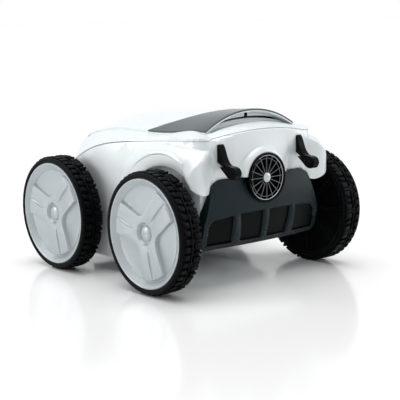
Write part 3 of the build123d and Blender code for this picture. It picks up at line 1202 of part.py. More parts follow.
# ---------------------------------------------------------------- build and write
for side, hand in (("right", 1), ("left", -1)):
    def placed(shape):
        return shape if hand > 0 else mirrored(shape)

    for end, axle_y in (("rear", REAR_AXLE_Y), ("front", FRONT_AXLE_Y)):
        save(f"tyre_{end}_{side}", placed(tyre(axle_y)), RUBBER)
        save(f"rim_{end}_{side}", placed(rim(axle_y)), CHARCOAL)
        save(f"hub_cap_{end}_{side}", placed(hub_cap(axle_y)), SILVER)
        save(f"axle_gear_{end}_{side}", placed(axle_gear(axle_y)), GEAR_WHITE)
    save(f"motor_pinion_{side}", placed(motor_pinion()), GEAR_WHITE)
    save(f"idler_rear_{side}", placed(idler(IDLER_REAR_TEETH, IDLER_REAR_Y)), GEAR_WHITE)
    save(f"idler_front_{side}", placed(idler(IDLER_FRONT_TEETH, IDLER_FRONT_Y)), GEAR_WHITE)
    save(f"brush_core_{side}", placed(brush_core()), MACHINE_GREY)
    save(f"brush_blades_{side}", placed(brush_blades()), BLUE_RUBBER)
    save(f"gear_plate_{side}", placed(gear_plate()), MACHINE_GREY)
    save(f"support_foot_{side}", foot(hand), GLOSS_BLACK)

white_casing = casing()
save("chassis_tub", chassis_tub(white_casing), WHITE)
save("body_shell", body_shell(white_casing), WHITE)
save("top_deck", top_deck(white_casing), WHITE)
save("lid_frame", lid_frame(), WHITE)
save("lid_window", lid_window(), SMOKE)
save("latch_button", latch_block(), GLOSS_BLACK)
save("hinge_pins", hinge_pins(), STEEL)
save("rear_bumper", rear_bumper(), CHARCOAL)
save("outlet_bezel", outlet_bezel(), GLOSS_BLACK)
save("outlet_grille", outlet_grille(), SILVER)
save("grille_hub", grille_hub(), SILVER)
save("outlet_duct", outlet_duct(), MACHINE_GREY)
save("propeller", propeller(), GEAR_WHITE)
save("pump_shaft", pump_shaft(), STEEL)
save("motor_block", motor_block(), MACHINE_GREY)
save("axle_bushes", axle_bushes(), GEAR_WHITE)
save("filter_frame", filter_frame(), CHARCOAL)
save("filter_mesh", filter_mesh(), STEEL)
save("filter_cover", filter_cover(), CHARCOAL)
save("filter_handle", filter_handle(), MACHINE_GREY)
save("intake_plate", intake_plate(), CHARCOAL)
save("intake_flap", intake_flap(), MACHINE_GREY)
save("belly_screws", belly_screws(), STEEL)
save("float_blocks", float_blocks(), FOAM)
save("cable_gland", cable_gland(), GLOSS_BLACK)
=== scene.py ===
import bmesh
import bpy
import json
from math import cos, pi, radians, sin, tan
from mathutils import Matrix, Vector

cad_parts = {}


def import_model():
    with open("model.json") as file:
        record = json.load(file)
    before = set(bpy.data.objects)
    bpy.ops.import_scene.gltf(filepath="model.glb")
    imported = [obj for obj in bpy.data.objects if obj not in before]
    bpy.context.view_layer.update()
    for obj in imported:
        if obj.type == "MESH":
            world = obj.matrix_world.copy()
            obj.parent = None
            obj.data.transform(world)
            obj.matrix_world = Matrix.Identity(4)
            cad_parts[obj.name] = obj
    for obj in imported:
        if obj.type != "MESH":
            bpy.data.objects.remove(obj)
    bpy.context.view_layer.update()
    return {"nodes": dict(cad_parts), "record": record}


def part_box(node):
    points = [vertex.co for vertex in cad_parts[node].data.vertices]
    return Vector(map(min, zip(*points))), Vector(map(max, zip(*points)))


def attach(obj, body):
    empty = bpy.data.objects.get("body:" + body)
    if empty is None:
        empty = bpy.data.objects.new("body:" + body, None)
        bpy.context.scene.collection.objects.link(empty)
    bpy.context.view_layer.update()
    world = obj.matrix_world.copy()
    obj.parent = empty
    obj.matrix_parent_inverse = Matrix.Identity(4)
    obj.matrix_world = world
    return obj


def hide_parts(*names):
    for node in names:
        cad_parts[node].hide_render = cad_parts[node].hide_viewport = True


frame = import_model()

record = frame["record"]
BODY_OF = {node: body for body, nodes in record["behaviour"]["bodies"].items() for node in nodes}
SLOT_OF = {part["node"]: part["material_slot"] for part in record["subparts"]}

# ---------------------------------------------------------------- camera, light and floor
CAMERA_PLACE = (-1.3152, -1.5760, 0.4761)
CAMERA_YAW = 40.487          # degrees from +Y towards +X
CAMERA_PITCH = 9.833         # degrees downwards
CAMERA_ROLL = -0.995
CAMERA_LENS = 99.44
CAMERA_SENSOR = 36
FLOOR_HALF = 30.0
FLOOR_WHITE = (0.985, 0.985, 0.985, 1)
FLOOR_ROUGHNESS = 0.16
FLOOR_SPECULAR = 0.35
LAMP_AIM = Vector((0, 0, 0.15))
WORLD_STRENGTH = 0.3
SKY_STRENGTH, SKY_SPREAD = 2.15, 60


def camera():
    """A long lens behind the machine's left rear wheel, a little above it."""
    yaw, pitch, roll = (radians(a) for a in (CAMERA_YAW, CAMERA_PITCH, CAMERA_ROLL))
    ahead = Vector((sin(yaw) * cos(pitch), cos(yaw) * cos(pitch), -sin(pitch)))
    right = Vector((cos(yaw), -sin(yaw), 0))
    up = right.cross(ahead)
    turned_right = right * cos(roll) + up * sin(roll)
    turned_up = up * cos(roll) - right * sin(roll)
    turn = Matrix((turned_right, turned_up, -ahead)).transposed()
    bpy.ops.object.camera_add()
    seen = bpy.context.object
    seen.matrix_world = Matrix.Translation(CAMERA_PLACE) @ turn.to_4x4()
    seen.data.lens = CAMERA_LENS
    seen.data.sensor_width = CAMERA_SENSOR
    bpy.context.scene.camera = seen


def sky(strength, spread):
    """Broad even light from straight above."""
    bpy.ops.object.light_add(type="SUN", location=(0, 0, 3))
    made = bpy.context.object
    made.name = "sky"
    made.data.energy = strength
    made.data.angle = radians(spread)


def lamp(name, place, size, power):
    """A large soft square lamp, aimed at the machine."""
    bpy.ops.object.light_add(type="AREA", location=place)
    made = bpy.context.object
    made.name = name
    made.data.size = size
    made.data.energy = power
    made.rotation_euler = (LAMP_AIM - Vector(place)).to_track_quat("-Z", "Y").to_euler()


def world(strength):
    """White to the eye and in reflections, softer as a light."""
    bpy.context.scene.world = made = bpy.data.worlds.new("studio")
    made.use_nodes = True
    tree = made.node_tree
    back = tree.nodes["Background"]
    back.inputs["Color"].default_value = (1, 1, 1, 1)
    path = tree.nodes.new("ShaderNodeLightPath")
    seen = tree.nodes.new("ShaderNodeMath")
    seen.operation = "MAXIMUM"
    level = tree.nodes.new("ShaderNodeMapRange")
    level.inputs["To Min"].default_value = strength
    level.inputs["To Max"].default_value = 1.0
    tree.links.new(path.outputs["Is Camera Ray"], seen.inputs[0])
    tree.links.new(path.outputs["Is Glossy Ray"], seen.inputs[1])
    tree.links.new(seen.outputs["Value"], level.inputs["Value"])
    tree.links.new(level.outputs["Result"], back.inputs["Strength"])


def floor():
    """A white glossy floor that keeps the shadow and a soft reflection."""
    bpy.ops.mesh.primitive_plane_add(size=2 * FLOOR_HALF)
    ground = bpy.context.object
    ground.name = "floor"
    made = bpy.data.materials.new("white_floor")
    made.use_nodes = True
    base = made.node_tree.nodes["Principled BSDF"]
    base.inputs["Base Color"].default_value = FLOOR_WHITE
    base.inputs["Roughness"].default_value = FLOOR_ROUGHNESS
    base.inputs["Specular IOR Level"].default_value = FLOOR_SPECULAR
    ground.data.materials.append(made)


# ---------------------------------------------------------------- finishes
NOISE_DETAIL = 3.0
TONE_LOW, TONE_HIGH = 0.3, 0.7
GRAIN_DEPTH = 0.0004


def finish(name, colour, roughness, mottle=0.03, scale=30.0, grain=0.0, grain_scale=900.0, **sockets):
    """A finish that drifts a little in tone over the piece, with an optional fine moulded grain."""
    made = bpy.data.materials.new(name)
    made.use_nodes = True
    nodes, links = made.node_tree.nodes, made.node_tree.links
    base = nodes["Principled BSDF"]
    place = nodes.new("ShaderNodeTexCoord")
    noise = nodes.new("ShaderNodeTexNoise")
    noise.inputs["Scale"].default_value = scale
    noise.inputs["Detail"].default_value = NOISE_DETAIL
    tone = nodes.new("ShaderNodeValToRGB")
    low, high = tone.color_ramp.elements
    low.position, high.position = TONE_LOW, TONE_HIGH
    low.color = (*(c * (1 - mottle) for c in colour), 1)
    high.color = (*(min(1.0, c * (1 + mottle)) for c in colour), 1)
    links.new(place.outputs["Object"], noise.inputs["Vector"])
    links.new(noise.outputs["Fac"], tone.inputs["Fac"])
    links.new(tone.outputs["Color"], base.inputs["Base Color"])
    base.inputs["Roughness"].default_value = roughness
    for socket, value in sockets.items():
        base.inputs[socket.replace("_", " ")].default_value = value
    if grain:
        fine = nodes.new("ShaderNodeTexNoise")
        fine.inputs["Scale"].default_value = grain_scale
        bump = nodes.new("ShaderNodeBump")
        bump.inputs["Strength"].default_value = grain
        bump.inputs["Distance"].default_value = GRAIN_DEPTH
        links.new(place.outputs["Object"], fine.inputs["Vector"])
        links.new(fine.outputs["Fac"], bump.inputs["Height"])
        links.new(bump.outputs["Normal"], base.inputs["Normal"])
    return made


FINISHES = {
    "white_gloss": finish("pearl_white", (0.79, 0.84, 0.855), 0.42, mottle=0.008, scale=5, Metallic=0.2,
                          Coat_Weight=0.1, Coat_Roughness=0.3),
    "silver_paint": finish("silver_paint", (0.42, 0.465, 0.485), 0.36, mottle=0.02, Metallic=0.35),
    "tyre_rubber": finish("tyre_rubber", (0.0015, 0.002, 0.0025), 0.5, mottle=0.15, grain=0.2,
                          Specular_IOR_Level=0.06),
    "wheel_black": finish("wheel_black", (0.003, 0.0035, 0.004), 0.5, mottle=0.1, Specular_IOR_Level=0.08),
    "gear_plastic": finish("ivory_acetal", (0.62, 0.60, 0.52), 0.4),
    "machine_grey": finish("machine_grey", (0.17, 0.18, 0.2), 0.5, grain=0.15),
    "brush_rubber": finish("blue_rubber", (0.03, 0.09, 0.17), 0.55, mottle=0.06),
    "gloss_black": finish("gloss_black", (0.0012, 0.0014, 0.0016), 0.2, Specular_IOR_Level=0.07),
    "charcoal_satin": finish("charcoal_satin", (0.007, 0.015, 0.019), 0.40, mottle=0.06, grain=0.05,
                             Specular_IOR_Level=0.16),
    # Near-black floor for the bumper's pockets: the bumper's dark plastic made darker still, painted shade
    # in the recesses.
    "pocket_painted_shade": finish("pocket_painted_shade", (0.002, 0.0026, 0.003), 0.4, Specular_IOR_Level=0.06),
    "smoked_window": finish("smoked_window", (0.10, 0.125, 0.135), 0.24, mottle=0.02, scale=5,
                            Specular_IOR_Level=0.2),
    "dull_silver": finish("dull_silver", (0.16, 0.18, 0.19), 0.35, Metallic=0.6),
    "bright_silver": finish("bright_silver", (0.5, 0.55, 0.57), 0.3, Metallic=0.7),
    "steel": finish("steel", (0.55, 0.56, 0.58), 0.3, Metallic=1.0),
    "bush_plastic": finish("bush_plastic", (0.02, 0.02, 0.022), 0.45),
    "filter_mesh": finish("filter_mesh", (0.5, 0.54, 0.58), 0.8, grain=0.5, grain_scale=1500),
    "foam": finish("foam", (0.6, 0.6, 0.58), 0.9, grain=0.4, grain_scale=500),
}


# ---------------------------------------------------------------- making by hand
def fresh():
    """Nothing selected, in object mode."""
    if bpy.context.object and bpy.context.object.mode != "OBJECT":
        bpy.ops.object.mode_set(mode="OBJECT")
    bpy.ops.object.select_all(action="DESELECT")


def pick(kind, wanted):
    """In edit mode, selects the faces, edges or vertices that pass a test."""
    bpy.ops.mesh.select_mode(type=kind)
    bpy.ops.mesh.select_all(action="DESELECT")
    mesh = bmesh.from_edit_mesh(bpy.context.object.data)
    for item in {"FACE": mesh.faces, "EDGE": mesh.edges, "VERT": mesh.verts}[kind]:
        if wanted(item):
            item.select_set(True)
    mesh.select_flush_mode()
    bmesh.update_edit_mesh(bpy.context.object.data)


def settle(piece):
    """Puts a piece's place and turn into its mesh."""
    fresh()
    piece.select_set(True)
    bpy.context.view_layer.objects.active = piece
    bpy.ops.object.transform_apply(location=True, rotation=True, scale=True)
    return piece


def lathe(name, profile, centre, steps):
    """A closed profile of (x, radius) corners, turned about an axis along X."""
    fresh()
    (x, r), *others = profile
    bpy.ops.mesh.primitive_plane_add(size=0.001)
    piece = bpy.context.object
    piece.name = name
    bpy.ops.object.mode_set(mode="EDIT")
    bpy.ops.mesh.merge(type="CENTER")
    bpy.ops.transform.translate(value=(x, centre[1], centre[2] + r))
    for next_x, next_r in others:
        bpy.ops.mesh.extrude_region_move(TRANSFORM_OT_translate={"value": (next_x - x, 0, next_r - r)})
        x, r = next_x, next_r
    pick("VERT", lambda v: len(v.link_edges) == 1)
    bpy.ops.mesh.edge_face_add()
    bpy.ops.mesh.select_all(action="SELECT")
    bpy.ops.mesh.spin(steps=steps, angle=2 * pi, center=centre, axis=(1, 0, 0))
    bpy.ops.mesh.select_all(action="SELECT")
    bpy.ops.mesh.remove_doubles(threshold=1e-6)
    bpy.ops.mesh.normals_make_consistent(inside=False)
    bpy.ops.object.mode_set(mode="OBJECT")
    return piece


def block(name, low, high):
    """A plain block between two corners."""
    fresh()
    bpy.ops.mesh.primitive_cube_add(size=1, location=[(a + b) / 2 for a, b in zip(low, high)])
    piece = bpy.context.object
    piece.name = name
    piece.scale = [b - a for a, b in zip(low, high)]
    return settle(piece)


def soften(piece, width, steps=2, angle=30):
    """Rounds the edges sharper than an angle."""
    fresh()
    bpy.context.view_layer.objects.active = piece
    piece.select_set(True)
    edge = piece.modifiers.new("soft_edge", "BEVEL")
    edge.width = width
    edge.segments = steps
    edge.limit_method = "ANGLE"
    edge.angle_limit = radians(angle)
    edge.harden_normals = True
    bpy.ops.object.modifier_apply(modifier="soft_edge")
    return piece


def smooth(piece, angle=40.0, even=False):
    """Smooth shading up to an angle; even lets the broad faces lead the shading."""
    fresh()
    bpy.context.view_layer.objects.active = piece
    piece.select_set(True)
    bpy.ops.object.shade_smooth_by_angle(angle=radians(angle))
    if even:
        lead = piece.modifiers.new("broad_faces_lead", "WEIGHTED_NORMAL")
        lead.mode = "FACE_AREA_WITH_ANGLE"
        lead.keep_sharp = True
        bpy.ops.object.modifier_apply(modifier="broad_faces_lead")
    return piece


def carve(piece, cutter):
    """Takes a cutter out of a piece."""
    fresh()
    bpy.context.view_layer.objects.active = piece
    piece.select_set(True)
    cut = piece.modifiers.new("cut", "BOOLEAN")
    cut.operation = "DIFFERENCE"
    cut.solver = "EXACT"
    cut.object = cutter
    bpy.ops.object.modifier_apply(modifier="cut")
    bpy.data.objects.remove(cutter)


def joined(name, pieces):
    """One object from several."""
    fresh()
    for piece in pieces:
        piece.select_set(True)
    bpy.context.view_layer.objects.active = pieces[0]
    bpy.ops.object.join()
    pieces[0].name = name
    return pieces[0]


def round_axle(piece, centre, copies):
    """Repeats a piece's whole mesh at equal steps round an axle along X."""
    fresh()
    bpy.context.view_layer.objects.active = piece
    bpy.ops.object.mode_set(mode="EDIT")
    bpy.ops.mesh.select_all(action="SELECT")
    bpy.ops.mesh.spin(steps=copies - 1, angle=2 * pi * (copies - 1) / copies, center=centre, axis=(1, 0, 0),
                      dupli=True)
    bpy.ops.object.mode_set(mode="OBJECT")


def fit_out(piece, node, finish_name=None):
    """The piece stands for a CAD node: the node is hidden, the piece joins the node's body and takes a
    finish, that of the node's slot unless another is named.
    """
    piece.data.materials.clear()
    piece.data.materials.append(FINISHES[finish_name or SLOT_OF[node]])
    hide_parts(node)
    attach(piece, BODY_OF[node])
    return piece


# ---------------------------------------------------------------- tyres
TREAD_PITCHES = 16
LUGS_PER_PITCH = 3
TREAD_DEPTH = 0.0046
TREAD_SINK = 0.0010          # how far a lug reaches into the carcass
TREAD_MARGIN = 0.0018        # from the inner band to the tyre's back
BEAD_CLEARANCE = 0.0003
SHOULDER_INSET = 0.0058
CARCASS_STEPS = 128
CARCASS_SOFT = 0.0006
LUG_SOFT = 0.0007
LUG_LENGTH = 0.0088
LUG_SKEW = 0.0016
BOSS_RADIUS, BOSS_DEPTH, BOSS_RISE, BOSS_SOFT = 0.0058, 0.0050, 0.0010, 0.0008
STUD_RADIUS, STUD_SINK = 0.0020, 0.0018


def tyre(node):
    """Block tread: three outer lugs to a pitch, a studded rib in the middle and a slotted inner band."""
    low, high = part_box(node)
    hub = (low + high) / 2
    radius = (high.z - low.z) / 2
    out = 1 if hub.x > 0 else -1
    face = max(abs(low.x), abs(high.x))
    back = min(abs(low.x), abs(high.x))
    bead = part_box(node.replace("tyre", "hub_cap"))[1].z - hub.z + BEAD_CLEARANCE
    root = radius - TREAD_DEPTH
    centre = (0, hub.y, hub.z)
    middle = (face + back) / 2

    carcass = lathe(node + "_carcass", [(out * x, r) for x, r in (
        (face - 0.0006, bead), (face, bead + 0.0012), (face, bead + 0.0052), (face - 0.0014, bead + 0.0074),
        (face - 0.0060, bead + 0.0088), (face - 0.0068, root), (back + 0.0030, root),
        (back, root - 0.0030), (back, bead))], centre, CARCASS_STEPS)
    soften(carcass, CARCASS_SOFT, steps=2, angle=25)

    step = 2 * pi / TREAD_PITCHES
    lug_step = step / LUGS_PER_PITCH
    parts = []

    def lug(name, near, far, top, along, turn, skew=0.0):
        """A block across the tread from near to far, of a length along it, turned round the axle."""
        x0, x1 = sorted((out * near, out * far))
        made = block(name, (x0, hub.y - along / 2, hub.z + root - TREAD_SINK),
                     (x1, hub.y + along / 2, hub.z + top))
        if skew:
            fresh()
            bpy.context.view_layer.objects.active = made
            bpy.ops.object.mode_set(mode="EDIT")
            pick("VERT", lambda v: v.co.x * out > (near + far) / 2)
            bpy.ops.transform.translate(value=(0, skew, 0))
            bpy.ops.object.mode_set(mode="OBJECT")
        soften(made, LUG_SOFT, steps=2)
        made.select_set(True)
        bpy.ops.transform.rotate(value=turn, orient_axis="X", center_override=centre)
        settle(made)
        parts.append(made)

    for n, inset in enumerate((0.0040, 0.0065, 0.0040)):
        turn = (n - 1) * lug_step
        lug(f"lug_{n}", middle + inset, face - SHOULDER_INSET, radius - 0.0004, LUG_LENGTH, turn, LUG_SKEW)
    lug("rib", middle - 0.0014, middle + 0.0014, radius - 0.0012, 0.0330, step / 2)
    inner = back + TREAD_MARGIN
    for side in (-1, 1):
        lug(f"band_{side}", inner, middle - 0.0050, radius - 0.0008, 0.0095, step / 2 + side * 0.30 * step)
    lug("band_mid", inner, middle - 0.0066, radius, 0.0042, step / 2)
    lug("band_far", inner, middle - 0.0060, radius - 0.0008, 0.0052, 0.0)
    fresh()
    bpy.ops.mesh.primitive_cylinder_add(vertices=20, radius=BOSS_RADIUS, depth=BOSS_DEPTH,
                                        location=(out * middle, hub.y, hub.z + root + BOSS_RISE))
    boss = settle(bpy.context.object)
    soften(boss, BOSS_SOFT)
    parts.append(boss)
    fresh()
    bpy.ops.mesh.primitive_uv_sphere_add(segments=12, ring_count=8, radius=STUD_RADIUS,
                                         location=(out * middle, hub.y, hub.z + radius - STUD_SINK))
    parts.append(settle(bpy.context.object))
    tread = joined(node + "_tread", parts)
    round_axle(tread, centre, TREAD_PITCHES)
    piece = joined(node + "_moulded", [carcass, tread])
    smooth(piece, 35)
    return fit_out(piece, node)


# ---------------------------------------------------------------- hub caps
CAP_PLATE_DEPTH = 0.0020     # spokes below the lip
CAP_PANEL_DEPTH = 0.0078     # sunk panels below the lip
CAP_DISH_RADIUS = 0.0815
CAP_RING_RADIUS = 0.0190
CAP_DOME_RADIUS = 0.0140
CAP_DOME_RISE = 0.0052
PANEL_APEX = 0.0270
PANEL_HALF_ANGLE = 54.0
PANEL_CORNER = 0.0200
PANEL_DRAFT = 0.0024
PANEL_EDGE = 0.0012          # left between the cut and the dish
CAP_STEPS = 120
CAP_SOFT = 0.0007
SPOKE_ANGLE = 45.0           # first spoke, from straight up towards the rear
GROOVE_NEAR, GROOVE_FAR = 0.0300, 0.0800
GROOVE_WIDTH = 0.0074
GROOVE_DEPTH = 0.0030
GROOVE_OFFSET = 0.0012


def panel_cutter(deep, x, hub, angle):
    """What is cut away between two spokes: a rounded wedge of the dish with a sloping side."""
    fresh()
    bpy.ops.mesh.primitive_cylinder_add(vertices=90, radius=CAP_DISH_RADIUS - PANEL_EDGE, depth=2 * deep,
                                        rotation=(0, pi / 2, 0))
    cutter = settle(bpy.context.object)
    half = radians(PANEL_HALF_ANGLE)
    bpy.ops.object.mode_set(mode="EDIT")
    for side in (1, -1):
        bpy.ops.mesh.select_all(action="SELECT")
        bpy.ops.mesh.bisect(plane_co=(0, 0, PANEL_APEX), plane_no=(0, side * cos(half), -sin(half)),
                            use_fill=True, clear_outer=True)
    pick("EDGE", lambda e: all(abs(v.co.y) < 1e-5 and abs(v.co.z - PANEL_APEX) < 1e-5 for v in e.verts))
    bpy.ops.mesh.bevel(offset=PANEL_CORNER / tan(half), segments=12, affect="EDGES")
    middle = (PANEL_APEX + CAP_DISH_RADIUS) / 2
    out = 1 if x > 0 else -1
    pick("VERT", lambda v: v.co.x * out > 0)
    reach = CAP_DISH_RADIUS - PANEL_APEX
    bpy.ops.transform.resize(value=(1, 1 + 3 * PANEL_DRAFT / reach, 1 + 3 * PANEL_DRAFT / reach),
                             center_override=(0, 0, middle))
    bpy.ops.object.mode_set(mode="OBJECT")
    cutter.rotation_euler = (radians(angle), 0, 0)
    cutter.location = (x + out * deep, hub.y, hub.z)
    return settle(cutter)


def groove_cutter(x, hub, angle):
    """A slim leaf, cut along the middle of a spoke."""
    fresh()
    bpy.ops.mesh.primitive_uv_sphere_add(segments=32, ring_count=16, radius=1)
    cutter = bpy.context.object
    cutter.scale = (GROOVE_DEPTH, GROOVE_WIDTH / 2, (GROOVE_FAR - GROOVE_NEAR) / 2)
    settle(cutter)
    cutter.location = (0, GROOVE_OFFSET, (GROOVE_NEAR + GROOVE_FAR) / 2)
    settle(cutter)
    cutter.rotation_euler = (radians(angle), 0, 0)
    cutter.location = (x, hub.y, hub.z)
    return settle(cutter)


def hub_cap(node):
    """Silver cover: bright lip, dished face, three sunk panels, slim grooves in the spokes, a domed hub."""
    low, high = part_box(node)
    hub = (low + high) / 2
    out = 1 if hub.x > 0 else -1
    face = max(abs(low.x), abs(high.x))
    back = min(abs(low.x), abs(high.x))
    edge = (high.z - low.z) / 2
    centre = (0, hub.y, hub.z)
    plate = face - CAP_PLATE_DEPTH
    panel = face - CAP_PANEL_DEPTH
    dome = [(panel + CAP_DOME_RISE * cos(a * pi / 12), CAP_DOME_RADIUS * sin(a * pi / 12))
            for a in (5, 4, 3, 2, 1)]
    cap = lathe(node + "_pressed", [(out * x, r) for x, r in (
        (back, edge), (face - 0.0012, edge), (face, edge - 0.0012), (face, edge - 0.0030),
        (face - 0.0012, edge - 0.0046), (panel, CAP_DISH_RADIUS + 0.0008), (panel, CAP_DISH_RADIUS - 0.0004),
        (plate, CAP_DISH_RADIUS - 0.0036), (plate, CAP_RING_RADIUS + 0.0012),
        (panel, CAP_RING_RADIUS - 0.0020), (panel, CAP_DOME_RADIUS), *dome, (panel + CAP_DOME_RISE, 0.0026),
        (panel + CAP_DOME_RISE - 0.0010, 0.0014), (panel + CAP_DOME_RISE - 0.0010, 0.0001),
        (back, 0.0001))], centre, CAP_STEPS)
    for n in range(3):
        spoke = SPOKE_ANGLE + 120 * n
        carve(cap, panel_cutter(plate - panel, out * panel, hub, spoke + 60))
        carve(cap, groove_cutter(out * plate, hub, spoke))
    soften(cap, CAP_SOFT, steps=3, angle=24)
    smooth(cap, 40)
    return fit_out(cap, node)


# ---------------------------------------------------------------- pieces that keep the frame's form
SKIN_ANGLE = 35
MERGE_DISTANCE = 2e-6
FLAT_ANGLE = 0.5


def dress(node, soft=0.0, finish_name=None, more=()):
    """A piece that takes over a CAD node's form, with its edges softened and further forms joined on."""
    fresh()
    piece = bpy.data.objects.new(f"{node}_skin", frame["nodes"][node].data.copy())
    bpy.context.collection.objects.link(piece)
    bpy.context.view_layer.objects.active = piece
    piece.select_set(True)
    bpy.ops.object.mode_set(mode="EDIT")
    bpy.ops.mesh.select_all(action="SELECT")
    bpy.ops.mesh.remove_doubles(threshold=MERGE_DISTANCE)
    bpy.ops.object.mode_set(mode="OBJECT")
    if soft:
        bpy.ops.object.mode_set(mode="EDIT")
        bpy.ops.mesh.select_all(action="SELECT")
        bpy.ops.mesh.dissolve_limited(angle_limit=radians(FLAT_ANGLE))
        bpy.ops.object.mode_set(mode="OBJECT")
        soften(piece, soft)
    smooth(piece, SKIN_ANGLE, even=True)
    if more:
        joined(piece.name, [piece, *more])
    return fit_out(piece, node, finish_name)


# ---------------------------------------------------------------- lips of the rear arches
ARCH_INNER_X = 0.1500
ARCH_OUTER_X = 0.1686
ARCH_RADIUS = 0.1088         # just clear of the tread
ARCH_ROOT_RADIUS = 0.1295    # inside the fender's own edge
ARCH_LOW_Z = 0.0550          # above the axle
ARCH_REAR_Y = -0.0500        # from the axle
ARCH_FRONT_Y = 0.1020
ARCH_CORNER = 0.0050
ARCH_STEPS = 120


def arch_lip(tyre_node):
    """Turned-in lip that follows a rear tyre under the fender's edge."""
    low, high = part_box(tyre_node)
    hub = (low + high) / 2
    out = 1 if hub.x > 0 else -1
    profile = [
        (ARCH_INNER_X, ARCH_RADIUS), (ARCH_OUTER_X - ARCH_CORNER, ARCH_RADIUS),
        (ARCH_OUTER_X - 0.0016, ARCH_RADIUS + 0.0016), (ARCH_OUTER_X, ARCH_RADIUS + 0.0060),
        (ARCH_OUTER_X, ARCH_ROOT_RADIUS), (ARCH_INNER_X, ARCH_ROOT_RADIUS),
    ]
    lip = lathe("arch_lip", [(out * x, r) for x, r in profile], (0, hub.y, hub.z), ARCH_STEPS)
    bpy.ops.object.mode_set(mode="EDIT")
    ends = (((0, 0, hub.z + ARCH_LOW_Z), (0, 0, -1)), ((0, hub.y + ARCH_REAR_Y, 0), (0, -1, 0)),
            ((0, hub.y + ARCH_FRONT_Y, 0), (0, 1, 0)))
    for place, away in ends:
        bpy.ops.mesh.select_all(action="SELECT")
        bpy.ops.mesh.bisect(plane_co=place, plane_no=away, use_fill=True, clear_outer=True)
    bpy.ops.mesh.select_all(action="SELECT")
    bpy.ops.mesh.normals_make_consistent(inside=False)
    bpy.ops.object.mode_set(mode="OBJECT")
    return smooth(lip, 40)


# ---------------------------------------------------------------- outlet grille
GRILLE_SPOKES = 16
GRILLE_SPOKE_WIDTH = 0.0009
GRILLE_INNER_SHARE = 0.84
GRILLE_HUB_RADIUS = 0.0085
GRILLE_HUB_RISE = 0.0028
GRILLE_DIMPLE = 0.0030
GRILLE_HALF_DEPTH = 0.0010
INNER_RING_THICK = 0.0005
RIM_THICK = 0.0008
RIM_SINK = 0.0004


def ring(name, radius, thick, y, z):
    """Thin round ring, facing the rear."""
    fresh()
    bpy.ops.mesh.primitive_torus_add(major_radius=radius, minor_radius=thick, major_segments=96,
                                     minor_segments=10, location=(0, y, z), rotation=(pi / 2, 0, 0))
    made = settle(bpy.context.object)
    made.name = name
    return made


def grille(node):
    """Slim dull spokes with a faint inner ring, inside one bright outer ring."""
    low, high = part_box(node)
    radius = (high.z - low.z) / 2
    middle_y, middle_z = (low.y + high.y) / 2, (low.z + high.z) / 2
    parts = [ring("inner_ring", radius * GRILLE_INNER_SHARE, INNER_RING_THICK, middle_y, middle_z)]
    for n in range(GRILLE_SPOKES):
        spoke = block(f"spoke_{n}", (-GRILLE_SPOKE_WIDTH / 2, middle_y - GRILLE_HALF_DEPTH, middle_z),
                      (GRILLE_SPOKE_WIDTH / 2, middle_y + GRILLE_HALF_DEPTH, middle_z + radius))
        fresh()
        spoke.select_set(True)
        bpy.ops.transform.rotate(value=2 * pi * n / GRILLE_SPOKES, orient_axis="Y",
                                 center_override=(0, middle_y, middle_z))
        parts.append(settle(spoke))
    fit_out(smooth(joined("grille_spokes", parts)), node, "dull_silver")
    rim = ring("grille_rim", radius - RIM_THICK, RIM_THICK, low.y + RIM_SINK, middle_z)
    return fit_out(smooth(rim), node, "bright_silver")


def grille_boss(node):
    """Plain silver dome with a dimple."""
    low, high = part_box(node)
    centre = (0, high.y, (low.z + high.z) / 2)
    fresh()
    bpy.ops.mesh.primitive_uv_sphere_add(segments=40, ring_count=20, radius=1, location=centre)
    dome = bpy.context.object
    dome.name = "grille_boss"
    dome.scale = (GRILLE_HUB_RADIUS, GRILLE_HUB_RISE, GRILLE_HUB_RADIUS)
    settle(dome)
    fresh()
    dimple_y = high.y - GRILLE_HUB_RISE - GRILLE_DIMPLE / 2
    bpy.ops.mesh.primitive_uv_sphere_add(segments=24, ring_count=12, radius=GRILLE_DIMPLE,
                                         location=(0, dimple_y, centre[2]))
    carve(dome, bpy.context.object)
    return fit_out(smooth(dome, 50), node, "bright_silver")


# ---------------------------------------------------------------- floor of the bumper's pockets, darkened as painted shade
POCKET_SHEET_HALF = 0.1290
POCKET_SHEET_BOW = 0.0082
POCKET_SHEET_STATIONS = [(0.0765, -0.1990), (0.0840, -0.2022), (0.0920, -0.2048), (0.1000, -0.2070),
                         (0.1080, -0.2088), (0.1160, -0.2099), (0.1250, -0.2106), (0.1330, -0.2108)]
POCKET_SHEET_STEPS = 24
POCKET_SHEET_THICKNESS = 0.0010


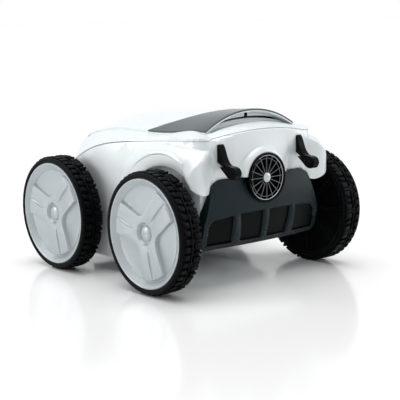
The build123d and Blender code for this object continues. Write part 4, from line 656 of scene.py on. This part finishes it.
def pocket_shade_sheet():
    """Near-black bowed sheet that floors all four recessed panels of the bumper: the bumper's dark plastic,
    made darker still as painted shade in the recesses.
    """
    def face_y(x, y):
        return y + POCKET_SHEET_BOW * (x / POCKET_SHEET_HALF) ** 2

    fresh()
    (z, y), *others = POCKET_SHEET_STATIONS
    bpy.ops.mesh.primitive_plane_add(size=0.001)
    sheet = bpy.context.object
    sheet.name = "pocket_shade_sheet"
    step = 2 * POCKET_SHEET_HALF / POCKET_SHEET_STEPS
    x = -POCKET_SHEET_HALF
    bpy.ops.object.mode_set(mode="EDIT")
    bpy.ops.mesh.merge(type="CENTER")
    bpy.ops.transform.translate(value=(x, face_y(x, y), z))
    for _ in range(POCKET_SHEET_STEPS):
        bpy.ops.mesh.extrude_region_move(TRANSFORM_OT_translate={
            "value": (step, face_y(x + step, y) - face_y(x, y), 0)})
        x += step
    bpy.ops.mesh.select_all(action="SELECT")
    for next_z, next_y in others:
        bpy.ops.mesh.extrude_region_move(TRANSFORM_OT_translate={"value": (0, next_y - y, next_z - z)})
        z, y = next_z, next_y
    bpy.ops.mesh.select_all(action="SELECT")
    bpy.ops.mesh.extrude_region_move(TRANSFORM_OT_translate={"value": (0, POCKET_SHEET_THICKNESS, 0)})
    bpy.ops.mesh.select_all(action="SELECT")
    bpy.ops.mesh.normals_make_consistent(inside=False)
    bpy.ops.object.mode_set(mode="OBJECT")
    return smooth(sheet, 40)


# ---------------------------------------------------------------- the whole machine
SOFT_EDGE = {"support_foot_left": 0.0035, "support_foot_right": 0.0035, "latch_button": 0.0008}
# Outlet parts on other finishes: the duct and the propeller deep inside the outlet turn near-black as
# painted shade; the bezel is its own gloss black.
OUTLET_BLACK_AND_PAINTED_SHADE = {"outlet_duct": "wheel_black", "propeller": "wheel_black", "outlet_bezel": "gloss_black"}

for node in frame["nodes"]:
    if node.startswith("tyre"):
        tyre(node)
    elif node.startswith("hub_cap"):
        hub_cap(node)
    elif node == "body_shell":
        dress(node, more=[arch_lip("tyre_rear_left"), arch_lip("tyre_rear_right")])
    elif node == "rear_bumper":
        dress(node)
        # The pockets' near-black floor is painted shade in the bumper's recesses.
        fit_out(pocket_shade_sheet(), node, "pocket_painted_shade")
    elif node == "outlet_grille":
        grille(node)
    elif node == "grille_hub":
        grille_boss(node)
    else:
        # The outlet's duct and propeller take near-black here as painted shade inside the outlet.
        dress(node, soft=SOFT_EDGE.get(node, 0.0), finish_name=OUTLET_BLACK_AND_PAINTED_SHADE.get(node))

camera()
world(WORLD_STRENGTH)
sky(SKY_STRENGTH, SKY_SPREAD)
lamp("left", (-2.3, 1.6, 1.0), 1.2, 27)
lamp("rear", (2.9, -1.6, 1.0), 1.2, 18)
bpy.context.scene.view_settings.view_transform = "Standard"
floor()
